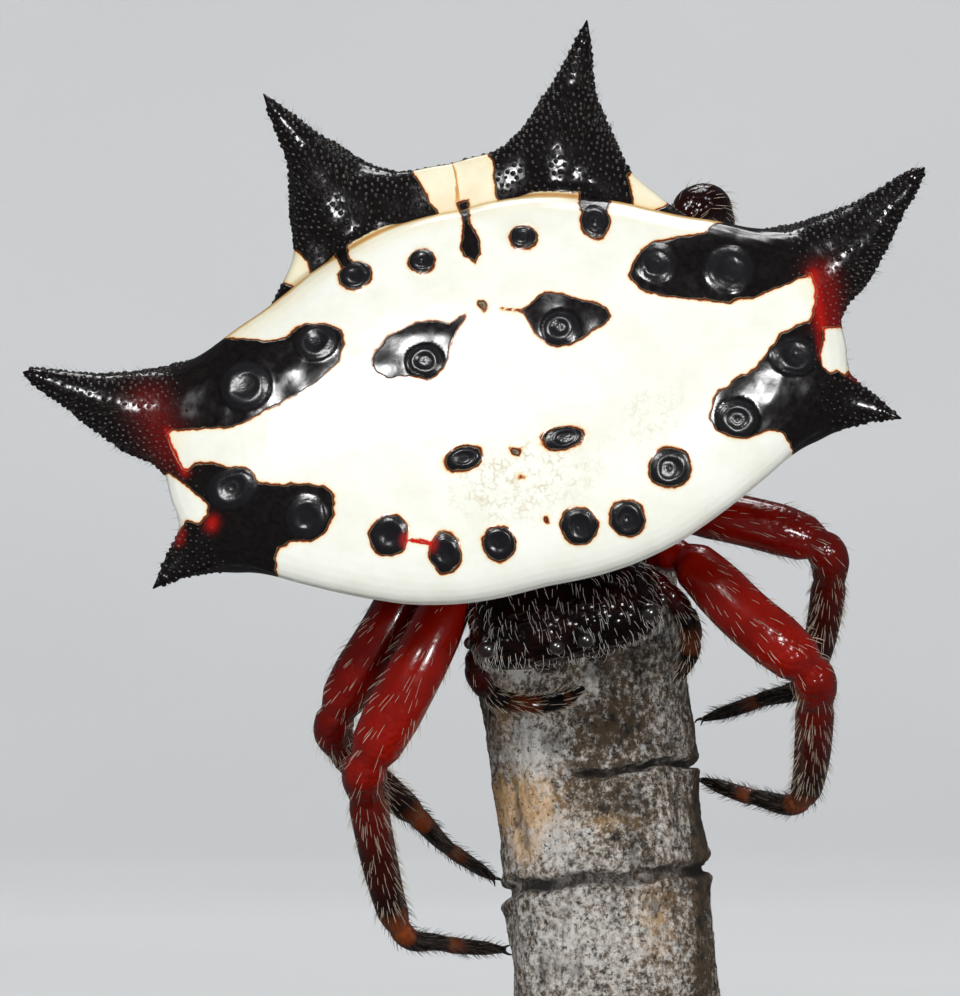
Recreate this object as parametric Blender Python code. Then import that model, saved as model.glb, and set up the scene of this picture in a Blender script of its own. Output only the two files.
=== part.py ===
"""Life-size museum model of a spiny orb weaver gripping a short cut twig.

The spider hangs head down on the near side of an upright twig, which a plain
rod and a round base hold up. Everything is laid out in millimetres: X runs to
the viewer's right, Y away from the viewer, Z up, with the origin under the
middle of the base. The mesh coordinates are metres.
"""
import math

import bmesh
import bpy
import numpy as np
from mathutils import Matrix, Vector

MM = 0.001
GAP = 0.22

# Stand and perch
BASE_RADIUS = 9.0
BASE_HEIGHT = 2.2
BASE_EDGE = 0.35
ROD_RADIUS = 0.8
TWIG_FOOT = Vector((0.04, 0.0, 5.6))
TWIG_TOP = Vector((-1.14, 0.75, 16.2))
TWIG_RADIUS = 1.47
TWIG_SIDES = 24
TWIG_CRACKS = ((8.30, 0.13), (9.86, 0.10))

# Abdomen, in its own frame: s to the spider's left, t to its rear, n out of its back
ABDOMEN_CENTRE = Vector((-1.71, -5.1, 14.96))
ABDOMEN_ROLL = math.radians(12.8)
ABDOMEN_PITCH = math.radians(10.0)
# Half of the plate's outline (s, t), from the middle of its rear edge to the middle of its front edge
PLATE_OUTLINE = (
    (0.00, 2.82), (0.40, 2.84), (0.80, 2.82), (1.20, 2.75), (1.65, 2.62), (2.15, 2.45), (2.60, 2.23),
    (3.00, 2.04), (3.40, 1.88), (3.80, 1.68), (4.20, 1.40), (4.50, 1.02), (4.68, 0.55), (4.75, 0.10),
    (4.74, -0.35), (4.60, -0.72), (4.30, -1.06), (3.90, -1.37), (3.55, -1.60), (3.20, -1.79),
    (2.80, -1.99), (2.35, -2.19), (1.90, -2.36), (1.45, -2.47), (1.05, -2.53), (0.60, -2.555), (0.00, -2.54),
)
BAND_REACH = 0.80
BAND_HALF_WIDTH = 2.50
ABDOMEN_SIDES = 48
# Share of the plate's outline, height, share of the rear band's reach, shift to the rear
ABDOMEN_PROFILE = (
    (0.30, 0.47, 0.0, 0.0), (0.55, 0.38, 0.0, 0.0), (0.75, 0.24, 0.0, 0.0), (0.88, 0.07, 0.0, 0.0),
    (0.96, -0.11, 0.0, 0.0), (1.00, -0.36, 0.0, 0.0), (0.985, -0.56, 0.75, 0.0), (0.985, -0.72, 1.0, 0.0),
    (0.95, -0.98, 1.0, 0.0), (0.86, -1.28, 0.7, 0.0), (0.68, -1.72, 0.2, 0.10), (0.44, -2.18, 0.0, 0.35),
    (0.22, -2.50, 0.0, 0.62),
)
BACK_HEIGHT = 0.50
BELLY_PEAK = (0.0, 0.70, -2.62)

# Spines: centre line (s, t, n) and half width at each of its points
SPINES = {
    "side": (
        ((3.30, 0.85, -0.78), (4.30, 0.93, -0.66), (4.80, 1.05, -0.56), (5.10, 1.19, -0.50), (5.40, 1.35, -0.45),
         (5.70, 1.55, -0.40), (6.00, 1.74, -0.36), (6.20, 1.87, -0.33), (6.36, 1.97, -0.32)),
        (0.60, 0.80, 0.69, 0.54, 0.40, 0.28, 0.175, 0.095, 0.02),
    ),
    "front": (
        ((3.30, -0.72, -0.82), (4.10, -0.86, -0.68), (4.55, -0.97, -0.60), (4.83, -1.09, -0.56),
         (5.05, -1.22, -0.54), (5.27, -1.36, -0.52)),
        (0.44, 0.52, 0.40, 0.24, 0.12, 0.02),
    ),
    "rear": (
        ((1.20, 2.30, -1.02), (1.55, 3.20, -0.94), (1.68, 3.62, -0.88), (1.77, 3.92, -0.84), (1.88, 4.17, -0.81),
         (1.99, 4.42, -0.77), (2.09, 4.64, -0.74), (2.19, 4.86, -0.71), (2.30, 5.13, -0.69)),
        (0.75, 0.86, 0.63, 0.48, 0.35, 0.26, 0.185, 0.11, 0.02),
    ),
}
SPINE_SIDES = 12
SPINE_FLATNESS = 1.25

# Polished dimples of the back that stand slightly proud: s, t, radius
SIGILLA = (
    (1.67, 2.13, 0.22), (0.71, 2.13, 0.18), (3.40, 1.03, 0.33), (2.40, 1.35, 0.26),
    (3.92, -0.32, 0.29), (3.02, -0.98, 0.27), (1.97, -1.46, 0.28), (1.26, -1.93, 0.23),
    (0.56, -1.93, 0.23), (0.96, 0.74, 0.24), (0.69, -0.73, 0.19),
)
SIGILLUM_RISE = 0.05
SPINNERET_RADIUS = 0.42
SPINNERET_LENGTH = 0.5

# Head and thorax in one: distance ahead of the waist, half width, underside, top
HEAD_SHIFT = 0.17
WAIST_T = -0.85
STERNUM_Y = -1.92
CEPHALOTHORAX_SIDES = 20
CEPHALOTHORAX = (
    (-0.25, 0.24, 0.26, 0.64), (0.05, 0.34, 0.22, 0.76), (0.35, 0.80, 0.12, 0.94),
    (0.80, 1.18, 0.10, 1.28), (1.35, 1.32, 0.08, 1.58), (1.80, 1.33, 0.12, 1.82),
    (2.12, 1.33, 0.42, 1.95), (2.40, 1.32, 0.80, 1.97), (2.62, 1.26, 0.93, 1.88),
    (2.78, 1.04, 1.08, 1.74), (2.88, 0.64, 1.18, 1.58),
)
EYES = ((1.15, 2.40, 1.74, 0.12), (1.28, 2.28, 1.36, 0.10), (0.20, 2.55, 1.88, 0.09), (0.24, 2.80, 1.56, 0.11))

# Where each pair of legs leaves the body: distance ahead of the waist, height over the sternum
HIPS = {"leg_1": (1.65, 0.28), "leg_2": (1.20, 0.25), "leg_3": (0.65, 0.22), "leg_4": (0.15, 0.22)}
HIP_INSET = 0.93
# The other joints in world millimetres: trochanter, thigh, knee, below the knee, ankle, foot, claw
LEG_JOINTS = {
    "leg_1_left": (
        (0.90, -2.80, 12.86), (1.63, -3.15, 12.03), (2.48, -3.05, 11.29),
        (2.62, -2.62, 10.80), (2.49, -1.30, 9.45), (1.86, -0.45, 9.42), (1.27, 0.45, 9.62)),
    "leg_2_left": (
        (0.62, -2.10, 13.52), (1.60, -2.30, 13.34), (2.66, -2.25, 13.00),
        (2.84, -1.92, 12.50), (2.57, -1.00, 11.12), (1.92, -0.55, 10.80), (1.30, 0.10, 10.52)),
    "leg_3_left": (
        (0.42, -1.70, 14.10), (1.08, -1.42, 14.45), (1.72, -1.15, 14.60),
        (1.80, -0.75, 14.45), (1.36, 0.15, 14.10), (1.05, 0.70, 13.95), (0.60, 1.28, 13.80)),
    "leg_4_left": (
        (-0.12, -1.72, 14.78), (0.45, -1.75, 16.25), (0.95, -1.75, 17.60),
        (1.32, -1.38, 17.70), (1.15, 0.15, 16.50), (0.86, 0.98, 16.00), (0.36, 1.75, 15.50)),
    "leg_1_right": (
        (-2.69, -2.82, 12.26), (-3.00, -3.08, 11.25), (-3.57, -2.78, 10.01),
        (-3.62, -2.38, 9.50), (-3.19, -1.40, 7.66), (-2.60, -0.75, 7.38), (-1.82, 0.22, 7.24)),
    "leg_2_right": (
        (-2.84, -2.10, 12.86), (-3.42, -2.24, 11.74), (-4.02, -2.05, 10.67),
        (-3.97, -1.68, 10.15), (-2.95, -1.00, 9.19), (-2.50, -0.50, 8.72), (-1.98, 0.28, 8.25)),
    "leg_3_right": (
        (-2.88, -1.56, 13.52), (-3.44, -1.38, 13.66), (-3.96, -1.05, 13.74),
        (-3.98, -0.58, 13.58), (-3.20, 0.20, 13.25), (-2.82, 0.72, 13.12), (-2.36, 1.25, 13.00)),
    "leg_4_right": (
        (-2.62, -1.74, 14.22), (-3.62, -1.38, 15.16), (-4.50, -0.95, 16.05),
        (-4.36, -0.52, 16.22), (-3.05, 0.62, 15.60), (-2.85, 1.15, 15.30), (-2.42, 1.78, 15.02)),
}
# Radius of a front leg at its hip and at each of the joints above
LEG_RADII = (0.21, 0.27, 0.39, 0.33, 0.29, 0.22, 0.15, 0.05)
LEG_SIZE = {"leg_1": 1.0, "leg_2": 0.90, "leg_3": 0.80, "leg_4": 0.90}
# Each length of a leg: its first joint, its last joint and its number of rings
LEG_LENGTHS = {"thigh": (0, 3, 9), "shin": (3, 5, 7), "foot": (5, 7, 7)}
LEG_SIDES = 10
JOINT_GAP = 0.28

# Feelers beside the mouth: world points and radii
PALPS = {
    "left": (((0.74, -2.78, 12.22), (0.84, -2.74, 12.02), (0.90, -2.60, 11.78), (0.89, -2.38, 11.48),
              (0.78, -2.06, 11.18)), (0.13, 0.17, 0.185, 0.165, 0.08)),
    "right": (((-2.06, -2.34, 11.42), (-2.10, -2.28, 11.24), (-2.03, -2.18, 11.07), (-1.88, -2.05, 10.91),
               (-1.60, -1.93, 10.80), (-1.19, -1.78, 10.76), (-0.85, -1.62, 10.84), (-0.62, -1.52, 10.96)),
              (0.15, 0.165, 0.17, 0.16, 0.15, 0.145, 0.13, 0.06)),
}
# A jaw: points ahead, across and above the sternum, and radii
JAW = (((2.62, 0.40, 0.46), (2.66, 0.40, 0.15), (2.62, 0.38, -0.20), (2.48, 0.32, -0.45)),
       (0.26, 0.28, 0.21, 0.06))

# Colour, roughness and metallic value of each material
MATERIALS = {
    "ivory_plate": ((0.86, 0.82, 0.68), 0.28, 0.0),
    "red_leg": ((0.22, 0.03, 0.02), 0.30, 0.0),
    "dark_shell": ((0.03, 0.015, 0.012), 0.28, 0.0),
    "twig_bark": ((0.42, 0.38, 0.33), 0.85, 0.0),
    "stand_black": ((0.04, 0.04, 0.045), 0.40, 0.0),
}


def clear_scene():
    for obj in list(bpy.data.objects):
        bpy.data.objects.remove(obj)


def make_material(name):
    colour, roughness, metallic = MATERIALS[name]
    material = bpy.data.materials.new(name)
    material.use_nodes = True
    shader = material.node_tree.nodes["Principled BSDF"]
    shader.inputs["Base Color"].default_value = (*colour, 1.0)
    shader.inputs["Roughness"].default_value = roughness
    shader.inputs["Metallic"].default_value = metallic
    return material


def add_object(name, points, faces, material=None):
    """A mesh object from points in millimetres, with its faces pointing out."""
    mesh = bpy.data.meshes.new(name)
    mesh.from_pydata([Vector(point) * MM for point in points], [], faces)
    work = bmesh.new()
    work.from_mesh(mesh)
    bmesh.ops.recalc_face_normals(work, faces=work.faces)
    work.to_mesh(mesh)
    work.free()
    mesh.shade_smooth()
    mesh.set_sharp_from_angle(angle=math.radians(40))
    obj = bpy.data.objects.new(name, mesh)
    bpy.context.scene.collection.objects.link(obj)
    if material:
        mesh.materials.append(material)
    return obj


def loft(rings, start, end):
    """Points and faces of a closed body through rings of points, closed by two pole points."""
    sides = len(rings[0])
    points = [start]
    faces = []
    for ring in rings:
        points.extend(ring)
    points.append(end)
    last = len(points) - 1
    for index in range(sides):
        following = (index + 1) % sides
        faces.append((0, 1 + following, 1 + index))
        faces.append((last, last - sides + index, last - sides + following))
        for level in range(len(rings) - 1):
            low = 1 + level * sides
            high = low + sides
            faces.append((low + index, low + following, high + following, high + index))
    return points, faces


def smooth_path(corners, steps=97):
    """Points along a smooth curve through the corners, each corner's share of it, its length."""
    corners = [np.array(corner, float) for corner in corners]
    padded = [2 * corners[0] - corners[1]] + corners + [2 * corners[-1] - corners[-2]]
    pieces = 12
    fine = []
    for first in range(len(corners) - 1):
        a, b, c, d = padded[first:first + 4]
        for part in range(pieces):
            u = part / pieces
            fine.append(0.5 * (2 * b + (c - a) * u + (2 * a - 5 * b + 4 * c - d) * u * u
                               + (3 * b - a - 3 * c + d) * u ** 3))
    fine.append(corners[-1])
    fine = np.array(fine)
    travelled = np.concatenate([[0.0], np.cumsum(np.linalg.norm(np.diff(fine, axis=0), axis=1))])
    length = travelled[-1]
    corner_shares = travelled[::pieces] / length
    spots = np.array([[np.interp(share * length, travelled, fine[:, axis]) for axis in range(3)]
                      for share in np.linspace(0.0, 1.0, steps)])
    return spots, corner_shares, length


def tube(corners, radii, sides, steps, first=0, last=-1, trim_start=0.0, trim_end=0.0):
    """A closed round limb from one corner of a smooth path to another, with a radius at each corner."""
    spots, corner_shares, length = smooth_path(corners)
    begin = corner_shares[first] + trim_start / length
    end = corner_shares[last] - trim_end / length
    shares = np.linspace(begin, end, steps)
    base = np.linspace(0.0, 1.0, len(spots))
    directions = np.gradient(spots, axis=0)
    centres = np.array([[np.interp(share, base, spots[:, axis]) for axis in range(3)] for share in shares])
    forward = np.array([[np.interp(share, base, directions[:, axis]) for axis in range(3)]
                        for share in shares])
    forward /= np.linalg.norm(forward, axis=1)[:, None]
    widths = np.interp(shares, corner_shares, radii)
    side = np.cross(forward[0], (0.0, 0.0, 1.0))
    if np.linalg.norm(side) < 0.1:
        side = np.cross(forward[0], (1.0, 0.0, 0.0))
    rings = []
    for centre, direction, width in zip(centres, forward, widths):
        side = side - direction * np.dot(side, direction)
        side /= np.linalg.norm(side)
        other = np.cross(direction, side)
        rings.append([centre + width * (math.cos(angle) * side + math.sin(angle) * other)
                      for angle in (2 * math.pi * index / sides for index in range(sides))])
    return loft(rings, centres[0] - forward[0] * widths[0] * 0.1, centres[-1] + forward[-1] * widths[-1] * 0.1)


def half_outline(count):
    """Evenly spaced points of half the plate's outline."""
    corners = np.array(PLATE_OUTLINE)
    travelled = np.concatenate([[0.0], np.cumsum(np.linalg.norm(np.diff(corners, axis=0), axis=1))])
    spots = np.linspace(0.0, travelled[-1], count)
    return np.column_stack([np.interp(spots, travelled, corners[:, axis]) for axis in range(2)])


def plate_ring(share, height, reach, shift):
    """One ring of the abdomen: the plate's outline, drawn out at the rear by the band under the plate."""
    half = half_outline(ABDOMEN_SIDES // 2 + 1)
    mirrored = half[-2:0:-1] * (-1, 1)
    ring = []
    for s, t in np.concatenate([half, mirrored]) * share:
        if t > 0:
            t += reach * share * BAND_REACH * math.exp(-(s / BAND_HALF_WIDTH) ** 8)
        ring.append((s, t + shift, height))
    return ring


def back_height(s, t):
    """Height of the plate's surface over a point of its plan."""
    half = half_outline(200)
    edge = np.interp(math.atan2(abs(s), t), np.arctan2(half[:, 0], half[:, 1]), np.hypot(half[:, 0], half[:, 1]))
    share = math.hypot(s, t) / edge
    shares = [0.0] + [level[0] for level in ABDOMEN_PROFILE[:6]]
    heights = [BACK_HEIGHT] + [level[1] for level in ABDOMEN_PROFILE[:6]]
    return float(np.interp(share, shares, heights))


def abdomen_frame():
    """Turns abdomen coordinates (s, t, n) into world millimetres."""
    face_viewer = Matrix(((1, 0, 0), (0, 0, -1), (0, 1, 0)))
    tip_back = Matrix.Rotation(-ABDOMEN_PITCH, 3, "X")
    roll = Matrix.Rotation(-ABDOMEN_ROLL, 3, "Y")
    turn = (roll @ tip_back @ face_viewer).to_4x4()
    return Matrix.Translation(ABDOMEN_CENTRE) @ turn


def placed(points, frame):
    return [frame @ Vector(point) for point in points]


def sigillum(s, t, radius, sides=9):
    """A low round boss set on the back along its local normal."""
    step = 0.05
    height = back_height(s, t)
    normal = Vector(((back_height(s - step, t) - back_height(s + step, t)) / (2 * step),
                     (back_height(s, t - step) - back_height(s, t + step)) / (2 * step), 1.0)).normalized()
    across = normal.cross(Vector((0, 1, 0))).normalized()
    along = normal.cross(across)
    rings = []
    for rise, share in ((-0.22, 0.9), (0.0, 1.0), (SIGILLUM_RISE, 0.78)):
        middle = Vector((s, t, height)) + normal * rise
        rings.append([middle + share * radius * (math.cos(angle) * across + math.sin(angle) * along)
                      for angle in (2 * math.pi * index / sides for index in range(sides))])
    centre = Vector((s, t, height))
    return loft(rings, centre - normal * 0.25, centre + normal * (SIGILLUM_RISE + 0.01))


def join_pieces(obj, pieces):
    """Boolean union of closed pieces into obj, which keeps only its largest closed surface."""
    group = bpy.data.collections.new("pieces")
    bpy.context.scene.collection.children.link(group)
    for piece in pieces:
        bpy.context.scene.collection.objects.unlink(piece)
        group.objects.link(piece)
    union = obj.modifiers.new("union", "BOOLEAN")
    union.operation = "UNION"
    union.operand_type = "COLLECTION"
    union.collection = group
    union.solver = "EXACT"
    graph = bpy.context.evaluated_depsgraph_get()
    joined = bpy.data.meshes.new_from_object(obj.evaluated_get(graph))
    obj.modifiers.clear()
    obj.data = joined
    for piece in pieces:
        bpy.data.objects.remove(piece)
    bpy.data.collections.remove(group)
    keep_largest(joined)


def keep_largest(mesh):
    work = bmesh.new()
    work.from_mesh(mesh)
    unseen = set(work.verts)
    shells = []
    while unseen:
        queue = [unseen.pop()]
        shell = set(queue)
        while queue:
            for edge in queue.pop().link_edges:
                for vert in edge.verts:
                    if vert in unseen:
                        unseen.remove(vert)
                        shell.add(vert)
                        queue.append(vert)
        shells.append(shell)
    shells.sort(key=len)
    for shell in shells[:-1]:
        bmesh.ops.delete(work, geom=list(shell), context="VERTS")
    work.to_mesh(mesh)
    work.free()


def build_abdomen(material):
    frame = abdomen_frame()
    rings = [plate_ring(*level) for level in ABDOMEN_PROFILE]
    points, faces = loft(rings, (0, 0, BACK_HEIGHT), BELLY_PEAK)
    body = add_object("abdomen", placed(points, frame), faces, material)
    pieces = []
    for side in (1, -1):
        for centres, widths in SPINES.values():
            centres = [(side * s, t, n * SPINE_FLATNESS) for s, t, n in centres]
            points, faces = tube(centres, widths, SPINE_SIDES, 12)
            points = [(s, t, n / SPINE_FLATNESS) for s, t, n in points]
            pieces.append(add_object("spine", placed(points, frame), faces, material))
        for s, t, radius in SIGILLA:
            points, faces = sigillum(side * s, t, radius)
            pieces.append(add_object("sigillum", placed(points, frame), faces, material))
    join_pieces(body, pieces)


def build_spinnerets(material):
    """The cluster of silk nozzles on the peak of the underside."""
    frame = abdomen_frame()
    _, middle, peak = BELLY_PEAK
    top = peak - GAP
    rings = []
    for drop, share in ((0.0, 1.0), (0.35, 0.86), (0.8, 0.6), (1.0, 0.35)):
        radius = share * SPINNERET_RADIUS
        rings.append([(radius * math.cos(angle), middle + radius * math.sin(angle), top - drop * SPINNERET_LENGTH)
                      for angle in (2 * math.pi * index / 12 for index in range(12))])
    points, faces = loft(rings, (0, middle, top), (0, middle, top - SPINNERET_LENGTH * 1.05))
    add_object("spinnerets", placed(points, frame), faces, material)


def head_point(ahead, across, height):
    """World point of the head and thorax from its own directions."""
    t = WAIST_T - ahead
    s = across + HEAD_SHIFT
    x = ABDOMEN_CENTRE.x + s * math.cos(ABDOMEN_ROLL) - t * math.sin(ABDOMEN_ROLL)
    z = ABDOMEN_CENTRE.z + s * math.sin(ABDOMEN_ROLL) + t * math.cos(ABDOMEN_ROLL)
    return Vector((x, STERNUM_Y - height, z))


def build_cephalothorax(material):
    rings = []
    for ahead, half_width, low, high in CEPHALOTHORAX:
        middle = (low + high) / 2
        half_height = (high - low) / 2
        ring = []
        for index in range(CEPHALOTHORAX_SIDES):
            angle = 2 * math.pi * index / CEPHALOTHORAX_SIDES
            across = math.copysign(abs(math.cos(angle)) ** 0.8, math.cos(angle))
            upward = math.copysign(abs(math.sin(angle)) ** 0.8, math.sin(angle))
            ring.append(head_point(ahead, half_width * across, middle + half_height * upward))
        rings.append(ring)
    first = CEPHALOTHORAX[0]
    last = CEPHALOTHORAX[-1]
    points, faces = loft(rings, head_point(first[0], 0, (first[2] + first[3]) / 2),
                         head_point(last[0] + 0.06, 0, (last[2] + last[3]) / 2))
    body = add_object("cephalothorax", points, faces, material)
    pieces = []
    for side in (1, -1):
        for across, ahead, height, radius in EYES:
            centre = head_point(ahead, side * across, height)
            pieces.append(add_object("eye", *ball(centre, radius), material))
    join_pieces(body, pieces)


def ball(centre, radius, sides=8, levels=5):
    rings = []
    for level in range(1, levels):
        tilt = math.pi * level / levels
        rings.append([centre + radius * Vector((math.sin(tilt) * math.cos(angle), -math.cos(tilt),
                                                math.sin(tilt) * math.sin(angle)))
                      for angle in (2 * math.pi * index / sides for index in range(sides))])
    return loft(rings, centre + Vector((0, -radius, 0)), centre + Vector((0, radius, 0)))


def hip_point(pair, side):
    """Where a leg leaves the thorax, clear of its side by the gap."""
    ahead, height = HIPS[pair]
    half_width = np.interp(ahead, [level[0] for level in CEPHALOTHORAX], [level[1] for level in CEPHALOTHORAX])
    return head_point(ahead, side * (half_width * HIP_INSET + GAP), height)


def build_legs(materials):
    """Each leg is one smooth limb, parted at the knee and the ankle by thin cuts."""
    for leg, joints in LEG_JOINTS.items():
        pair = leg[:5]
        side = 1 if leg.endswith("left") else -1
        corners = [hip_point(pair, side), *joints]
        radii = [radius * LEG_SIZE[pair] for radius in LEG_RADII]
        for length, (first, last, steps) in LEG_LENGTHS.items():
            trim_start = 0.0 if length == "thigh" else JOINT_GAP / 2
            trim_end = 0.0 if length == "foot" else JOINT_GAP / 2
            points, faces = tube(corners, radii, LEG_SIDES, steps, first, last, trim_start, trim_end)
            add_object(f"{leg}_{length}", points, faces, materials[length])


def build_feelers(material):
    for label, side in (("left", 1), ("right", -1)):
        corners, radii = PALPS[label]
        points, faces = tube(corners, radii, LEG_SIDES, 10)
        add_object(f"palp_{label}", points, faces, material)
        places, radii = JAW
        corners = [head_point(ahead, side * across, height) for ahead, across, height in places]
        points, faces = tube(corners, radii, LEG_SIDES, 8)
        add_object(f"jaw_{label}", points, faces, material)


def build_twig(material):
    """The cut twig: a lofted rod with an uneven skin and two ring cracks."""
    axis = TWIG_TOP - TWIG_FOOT
    length = axis.length
    along = axis.normalized()
    side = along.cross(Vector((0, 1, 0))).normalized()
    other = along.cross(side)
    levels = set(np.linspace(0.0, length, 13).tolist())
    for height, width in TWIG_CRACKS:
        middle = (height - TWIG_FOOT.z) / along.z
        levels -= {level for level in levels if abs(level - middle) < 0.4}
        levels |= {middle - width, middle - width * 0.4, middle + width * 0.4, middle + width}
    rings = []
    for level in sorted(levels):
        radius = TWIG_RADIUS + 0.03 * math.sin(level * 2.1)
        for height, width in TWIG_CRACKS:
            middle = (height - TWIG_FOOT.z) / along.z
            if abs(level - middle) < width * 0.8:
                radius -= 0.14
        if level < 0.01 or level > length - 0.01:
            radius -= 0.08
        ring = []
        for index in range(TWIG_SIDES):
            angle = 2 * math.pi * index / TWIG_SIDES
            uneven = radius + 0.035 * math.sin(3 * angle + level * 0.9)
            ring.append(TWIG_FOOT + along * level + uneven * (math.cos(angle) * side + math.sin(angle) * other))
        rings.append(ring)
    points, faces = loft(rings, TWIG_FOOT, TWIG_TOP)
    add_object("perch_twig", points, faces, material)


def turned(name, profile, sides, material):
    """A body turned about the Z axis from (radius, height) points between two poles on the axis."""
    rings = [[(radius * math.cos(angle), radius * math.sin(angle), height)
              for angle in (2 * math.pi * index / sides for index in range(sides))]
             for radius, height in profile]
    points, faces = loft(rings, (0, 0, profile[0][1]), (0, 0, profile[-1][1]))
    add_object(name, points, faces, material)


def build_stand(material):
    edge = BASE_EDGE
    profile = ((BASE_RADIUS - edge / 3, 0.0), (BASE_RADIUS, edge / 3), (BASE_RADIUS, BASE_HEIGHT - edge),
               (BASE_RADIUS - edge, BASE_HEIGHT))
    turned("stand_base", profile, 48, material)
    low = BASE_HEIGHT + GAP
    high = TWIG_FOOT.z - GAP - 0.1
    turned("stand_rod", ((ROD_RADIUS, low), (ROD_RADIUS, high)), 20, material)


def main():
    clear_scene()
    made = {name: make_material(name) for name in MATERIALS}
    build_abdomen(made["ivory_plate"])
    build_spinnerets(made["dark_shell"])
    build_cephalothorax(made["dark_shell"])
    leg_materials = {"thigh": made["red_leg"], "shin": made["red_leg"], "foot": made["dark_shell"]}
    build_legs(leg_materials)
    build_feelers(made["dark_shell"])
    build_twig(made["twig_bark"])
    build_stand(made["stand_black"])


main()
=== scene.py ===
"""Spiny orb weaver head down on a cut twig: skin, eyes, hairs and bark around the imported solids.

Lengths are millimetres until a mesh is made, which stores metres. The abdomen has its own
directions: s to the spider's left, t to its rear, n out of its back. The head has its own too:
distance ahead of the waist, distance across to the left, height over the breast plate.
"""
import math

import bpy
import numpy as np
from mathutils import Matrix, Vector, kdtree, noise


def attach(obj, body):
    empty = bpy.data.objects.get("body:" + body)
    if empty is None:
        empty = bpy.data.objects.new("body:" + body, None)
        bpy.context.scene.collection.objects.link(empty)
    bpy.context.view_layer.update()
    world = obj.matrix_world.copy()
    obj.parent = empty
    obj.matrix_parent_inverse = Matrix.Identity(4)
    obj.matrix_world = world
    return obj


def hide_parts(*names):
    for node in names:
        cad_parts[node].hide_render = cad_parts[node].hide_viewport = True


MM = 0.001
# Limits for sums: a distance beyond every part, and a size too small to matter
FAR = 1e9
TINY = 1e-9

# Camera: it looks straight along +Y, with the middle of the photograph at this point
VIEW_CENTRE = (-2.04, -4.75, 13.65)
CAMERA_DISTANCE = 140.0
FRAME_HEIGHT = 13.645
SENSOR = 36.0
# Nearest and farthest distance that the camera sees, in metres
CLIP = (0.005, 5.0)

# Abdomen
ABDOMEN_CENTRE = np.array((-1.71, -5.1, 14.96))
ROLL = math.radians(12.8)
PITCH = math.radians(10.0)
# Half of the plate's outline, from the middle of its rear edge to the middle of its front edge
PLATE_OUTLINE = (
    (0.0, 2.82), (0.4, 2.84), (0.8, 2.82), (1.2, 2.75), (1.65, 2.62), (2.15, 2.45), (2.6, 2.23),
    (3.0, 2.04), (3.4, 1.88), (3.8, 1.68), (4.2, 1.4), (4.5, 1.02), (4.68, 0.55), (4.75, 0.1),
    (4.74, -0.35), (4.6, -0.72), (4.3, -1.06), (3.9, -1.37), (3.55, -1.6), (3.2, -1.79), (2.8, -1.99),
    (2.35, -2.19), (1.9, -2.36), (1.45, -2.47), (1.05, -2.53), (0.6, -2.555), (0.0, -2.54),
)
# Points of the outline that make its rear edge, and steps of the smooth outline and profile
REAR_POINTS = 12
OUTLINE_STEPS = 200
PROFILE_STEPS = 60
# Black and cream band behind the plate: reach to the rear, half width and middle
BAND_REACH = 0.8
BAND_HALF_WIDTH = 2.68
BAND_MIDDLE = 0.1
# Share of the plate's outline, height, share of the rear band's reach, shift to the rear
ABDOMEN_PROFILE = (
    (0.0, 0.5, 0.0, 0.0), (0.3, 0.47, 0.0, 0.0), (0.55, 0.38, 0.0, 0.0), (0.75, 0.24, 0.0, 0.0),
    (0.88, 0.07, 0.0, 0.0), (0.955, -0.09, 0.0, 0.0), (0.99, -0.24, 0.0, 0.0), (0.997, -0.36, 0.0, 0.0),
    (0.975, -0.45, 0.05, 0.0), (0.985, -0.56, 0.75, 0.0), (0.985, -0.72, 1.0, 0.0),
    (0.95, -0.98, 1.0, 0.0), (0.86, -1.28, 0.7, 0.0), (0.68, -1.72, 0.2, 0.1), (0.44, -2.18, 0.0, 0.35),
    (0.22, -2.5, 0.0, 0.62), (0.0, -2.6, 0.0, 0.7),
)
# Spines: centre line (s, t, n) and half width at each of its points
SIDE_SPINE = (
    ((3.3, 0.85, -0.78), (4.3, 0.93, -0.66), (4.8, 1.05, -0.56), (5.1, 1.19, -0.5), (5.4, 1.35, -0.45),
     (5.7, 1.55, -0.4), (6.0, 1.74, -0.36), (6.2, 1.87, -0.33), (6.34, 1.95, -0.32)),
    (0.6, 0.72, 0.61, 0.49, 0.37, 0.26, 0.18, 0.11, 0.02),
)
FRONT_SPINE = (
    ((3.3, -0.72, -0.82), (4.1, -0.86, -0.68), (4.55, -0.97, -0.6), (4.83, -1.09, -0.56),
     (5.05, -1.22, -0.54), (5.25, -1.35, -0.52)),
    (0.44, 0.46, 0.33, 0.205, 0.1, 0.012),
)
REAR_SPINE = (
    ((1.2, 2.3, -1.02), (1.55, 3.2, -0.94), (1.68, 3.62, -0.88), (1.77, 3.92, -0.84), (1.88, 4.17, -0.81),
     (1.99, 4.42, -0.77), (2.09, 4.64, -0.74), (2.19, 4.86, -0.71), (2.29, 5.1, -0.69)),
    (0.62, 0.77, 0.57, 0.425, 0.305, 0.23, 0.165, 0.1, 0.012),
)
SPINE_BLEND = 0.42
SPINE_FLATNESS = 1.25
SPINE_STEPS = 24
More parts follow.
